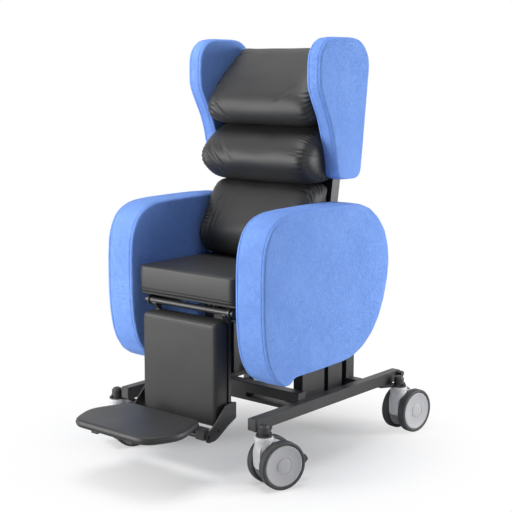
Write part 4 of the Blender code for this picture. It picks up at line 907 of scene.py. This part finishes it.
soft_pillow("lumbar_pillow_cover", "lumbar_pillow", LUMBAR_SECTION, LUMBAR_CREASES, 1.3)
soft_pillow("middle_pillow_cover", "middle_pillow", MIDDLE_SECTION, MIDDLE_CREASES, 4.1)
soft_pillow("head_pillow_cover", "head_pillow", HEAD_SECTION, HEAD_CREASES, 7.9)


# Leg rest. A slim pad of firm foam on the frame's panel, in the same vinyl, which is drawn over its
# rounded edges and fixed behind, so that no seam shows.
PAD_CORNER = 0.012
PAD_SEED = 31
padded_board("leg_rest_pad_cover", "leg_rest_pad", 1, vinyl, "leg_rest", PAD_CORNER, (), PAD_SEED)


# Footplate. A board rounded at its front corners, with a thin layer of foam in smooth vinyl, drawn tight
# over its edge. It stands on the hinge bracket at the leg rest's foot.
FOOT_CORNER = 0.009
FOOT_SEED = 37
padded_board("footplate_cover", "footplate", 2, vinyl, "footplate", FOOT_CORNER, (), FOOT_SEED)


# Floor, light and camera. A white studio floor turns into the white of the background away from the
# chair. Seen from the camera, a large soft lamp stands at the left and a smaller one at the right, and
# one hangs above.
WHITE = (1.0, 1.0, 1.0)
BLACK = (0.0, 0.0, 0.0)
FLOOR_HALF = 12.0
FLOOR_WHITE = 0.80
FLOOR_GLOW = 0.20
FADE_START, FADE_END = 0.15, 0.88
floor_mesh = bpy.data.meshes.new("floor")
floor_corners = [(x * FLOOR_HALF, y * FLOOR_HALF, 0) for x, y in ((-1, -1), (1, -1), (1, 1), (-1, 1))]
floor_mesh.from_pydata(floor_corners, [], [(0, 1, 2, 3)])
floor = bpy.data.objects.new("floor", floor_mesh)
bpy.context.scene.collection.objects.link(floor)

studio = Finish("white_floor", None, Roughness=1.0, Specular_IOR_Level=0.0,
                Base_Color=(FLOOR_WHITE,) * 3, Emission_Strength=FLOOR_GLOW)
seen = studio.node("ShaderNodeLightPath", output="Is Camera Ray")
studio.put(studio.shader.inputs["Emission Color"], studio.mixed(seen, BLACK, WHITE))
away = studio.node("ShaderNodeVectorMath", {"operation": "LENGTH"}, {0: studio.place}, "Value")
fading = studio.node("ShaderNodeMapRange", {"interpolation_type": "SMOOTHSTEP"},
                     {"Value": away, "From Min": FADE_START, "From Max": FADE_END})
near_floor = Value(studio, studio.shader.outputs[0])
far_floor = studio.node("ShaderNodeEmission", None, {"Color": WHITE, "Strength": 1.0})
both = studio.node("ShaderNodeMixShader", None, {0: seen * fading, 1: near_floor, 2: far_floor})
studio.put(studio.tree.nodes["Material Output"].inputs["Surface"], both)
floor_mesh.materials.append(studio.material)

# The chair is lit from all round at the ambient strength, and sees and shows a backdrop of plain white
AMBIENT = 0.13
BACKDROP = 1.0
world = bpy.data.worlds.new("studio")
bpy.context.scene.world = world
world.use_nodes = True
room = Nodes(world.node_tree)
room.tree.nodes.remove(room.tree.nodes["Background"])
seen = room.node("ShaderNodeLightPath", output="Is Camera Ray")
mirrored = room.node("ShaderNodeLightPath", output="Is Glossy Ray")
ambient = room.node("ShaderNodeBackground", None, {"Color": WHITE, "Strength": AMBIENT})
backdrop = room.node("ShaderNodeBackground", None, {"Color": WHITE, "Strength": BACKDROP})
both = room.node("ShaderNodeMixShader", None, {0: seen + mirrored, 1: ambient, 2: backdrop})
room.put(room.tree.nodes["World Output"].inputs["Surface"], both)

# Each lamp's name, place, diameter and watts
LAMPS = (
    ("front_left", (-2.3, -3.2, 0.95), 2.4, 153.0),
    ("right_rear", (2.7, 2.1, 0.95), 1.6, 82.0),
    ("top", (0.0, -0.5, 3.8), 2.0, 68.0),
)
LAMP_AIM = Vector((0, 0, 0.65))
for lamp_name, lamp_place, lamp_size, lamp_power in LAMPS:
    lamp = bpy.data.lights.new(lamp_name, "AREA")
    lamp.shape = "DISK"
    lamp.size = lamp_size
    lamp.energy = lamp_power
    holder = bpy.data.objects.new(lamp_name, lamp)
    holder.location = lamp_place
    holder.rotation_euler = (LAMP_AIM - Vector(lamp_place)).to_track_quat("-Z", "Y").to_euler()
    bpy.context.scene.collection.objects.link(holder)

# The camera's place from the front of the left rail, its turn to the side and down, and its roll
CAMERA_FROM_RAIL = (2.4617, -2.5895, 1.2502)
CAMERA_DOWN, CAMERA_TURN, CAMERA_ROLL = (math.radians(angle) for angle in (9.1124, 39.9633, 0.1307))
FOCAL_PIXELS, PICTURE_PIXELS, SENSOR = 1163.92, 512, 36.0
lens = bpy.data.cameras.new("camera")
lens.sensor_width = SENSOR
lens.lens = FOCAL_PIXELS / PICTURE_PIXELS * SENSOR
camera = bpy.data.objects.new("camera", lens)
rail_front = Vector((0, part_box("base_rail_cap_left")[0][1], 0))
camera.matrix_world = (Matrix.Translation(Vector(CAMERA_FROM_RAIL) + rail_front)
                       @ Matrix.Rotation(CAMERA_TURN, 4, "Z")
                       @ Matrix.Rotation(math.pi / 2 - CAMERA_DOWN, 4, "X")
                       @ Matrix.Rotation(CAMERA_ROLL, 4, "Z"))
bpy.context.scene.collection.objects.link(camera)
bpy.context.scene.camera = camera
bpy.context.scene.view_settings.view_transform = "Standard"
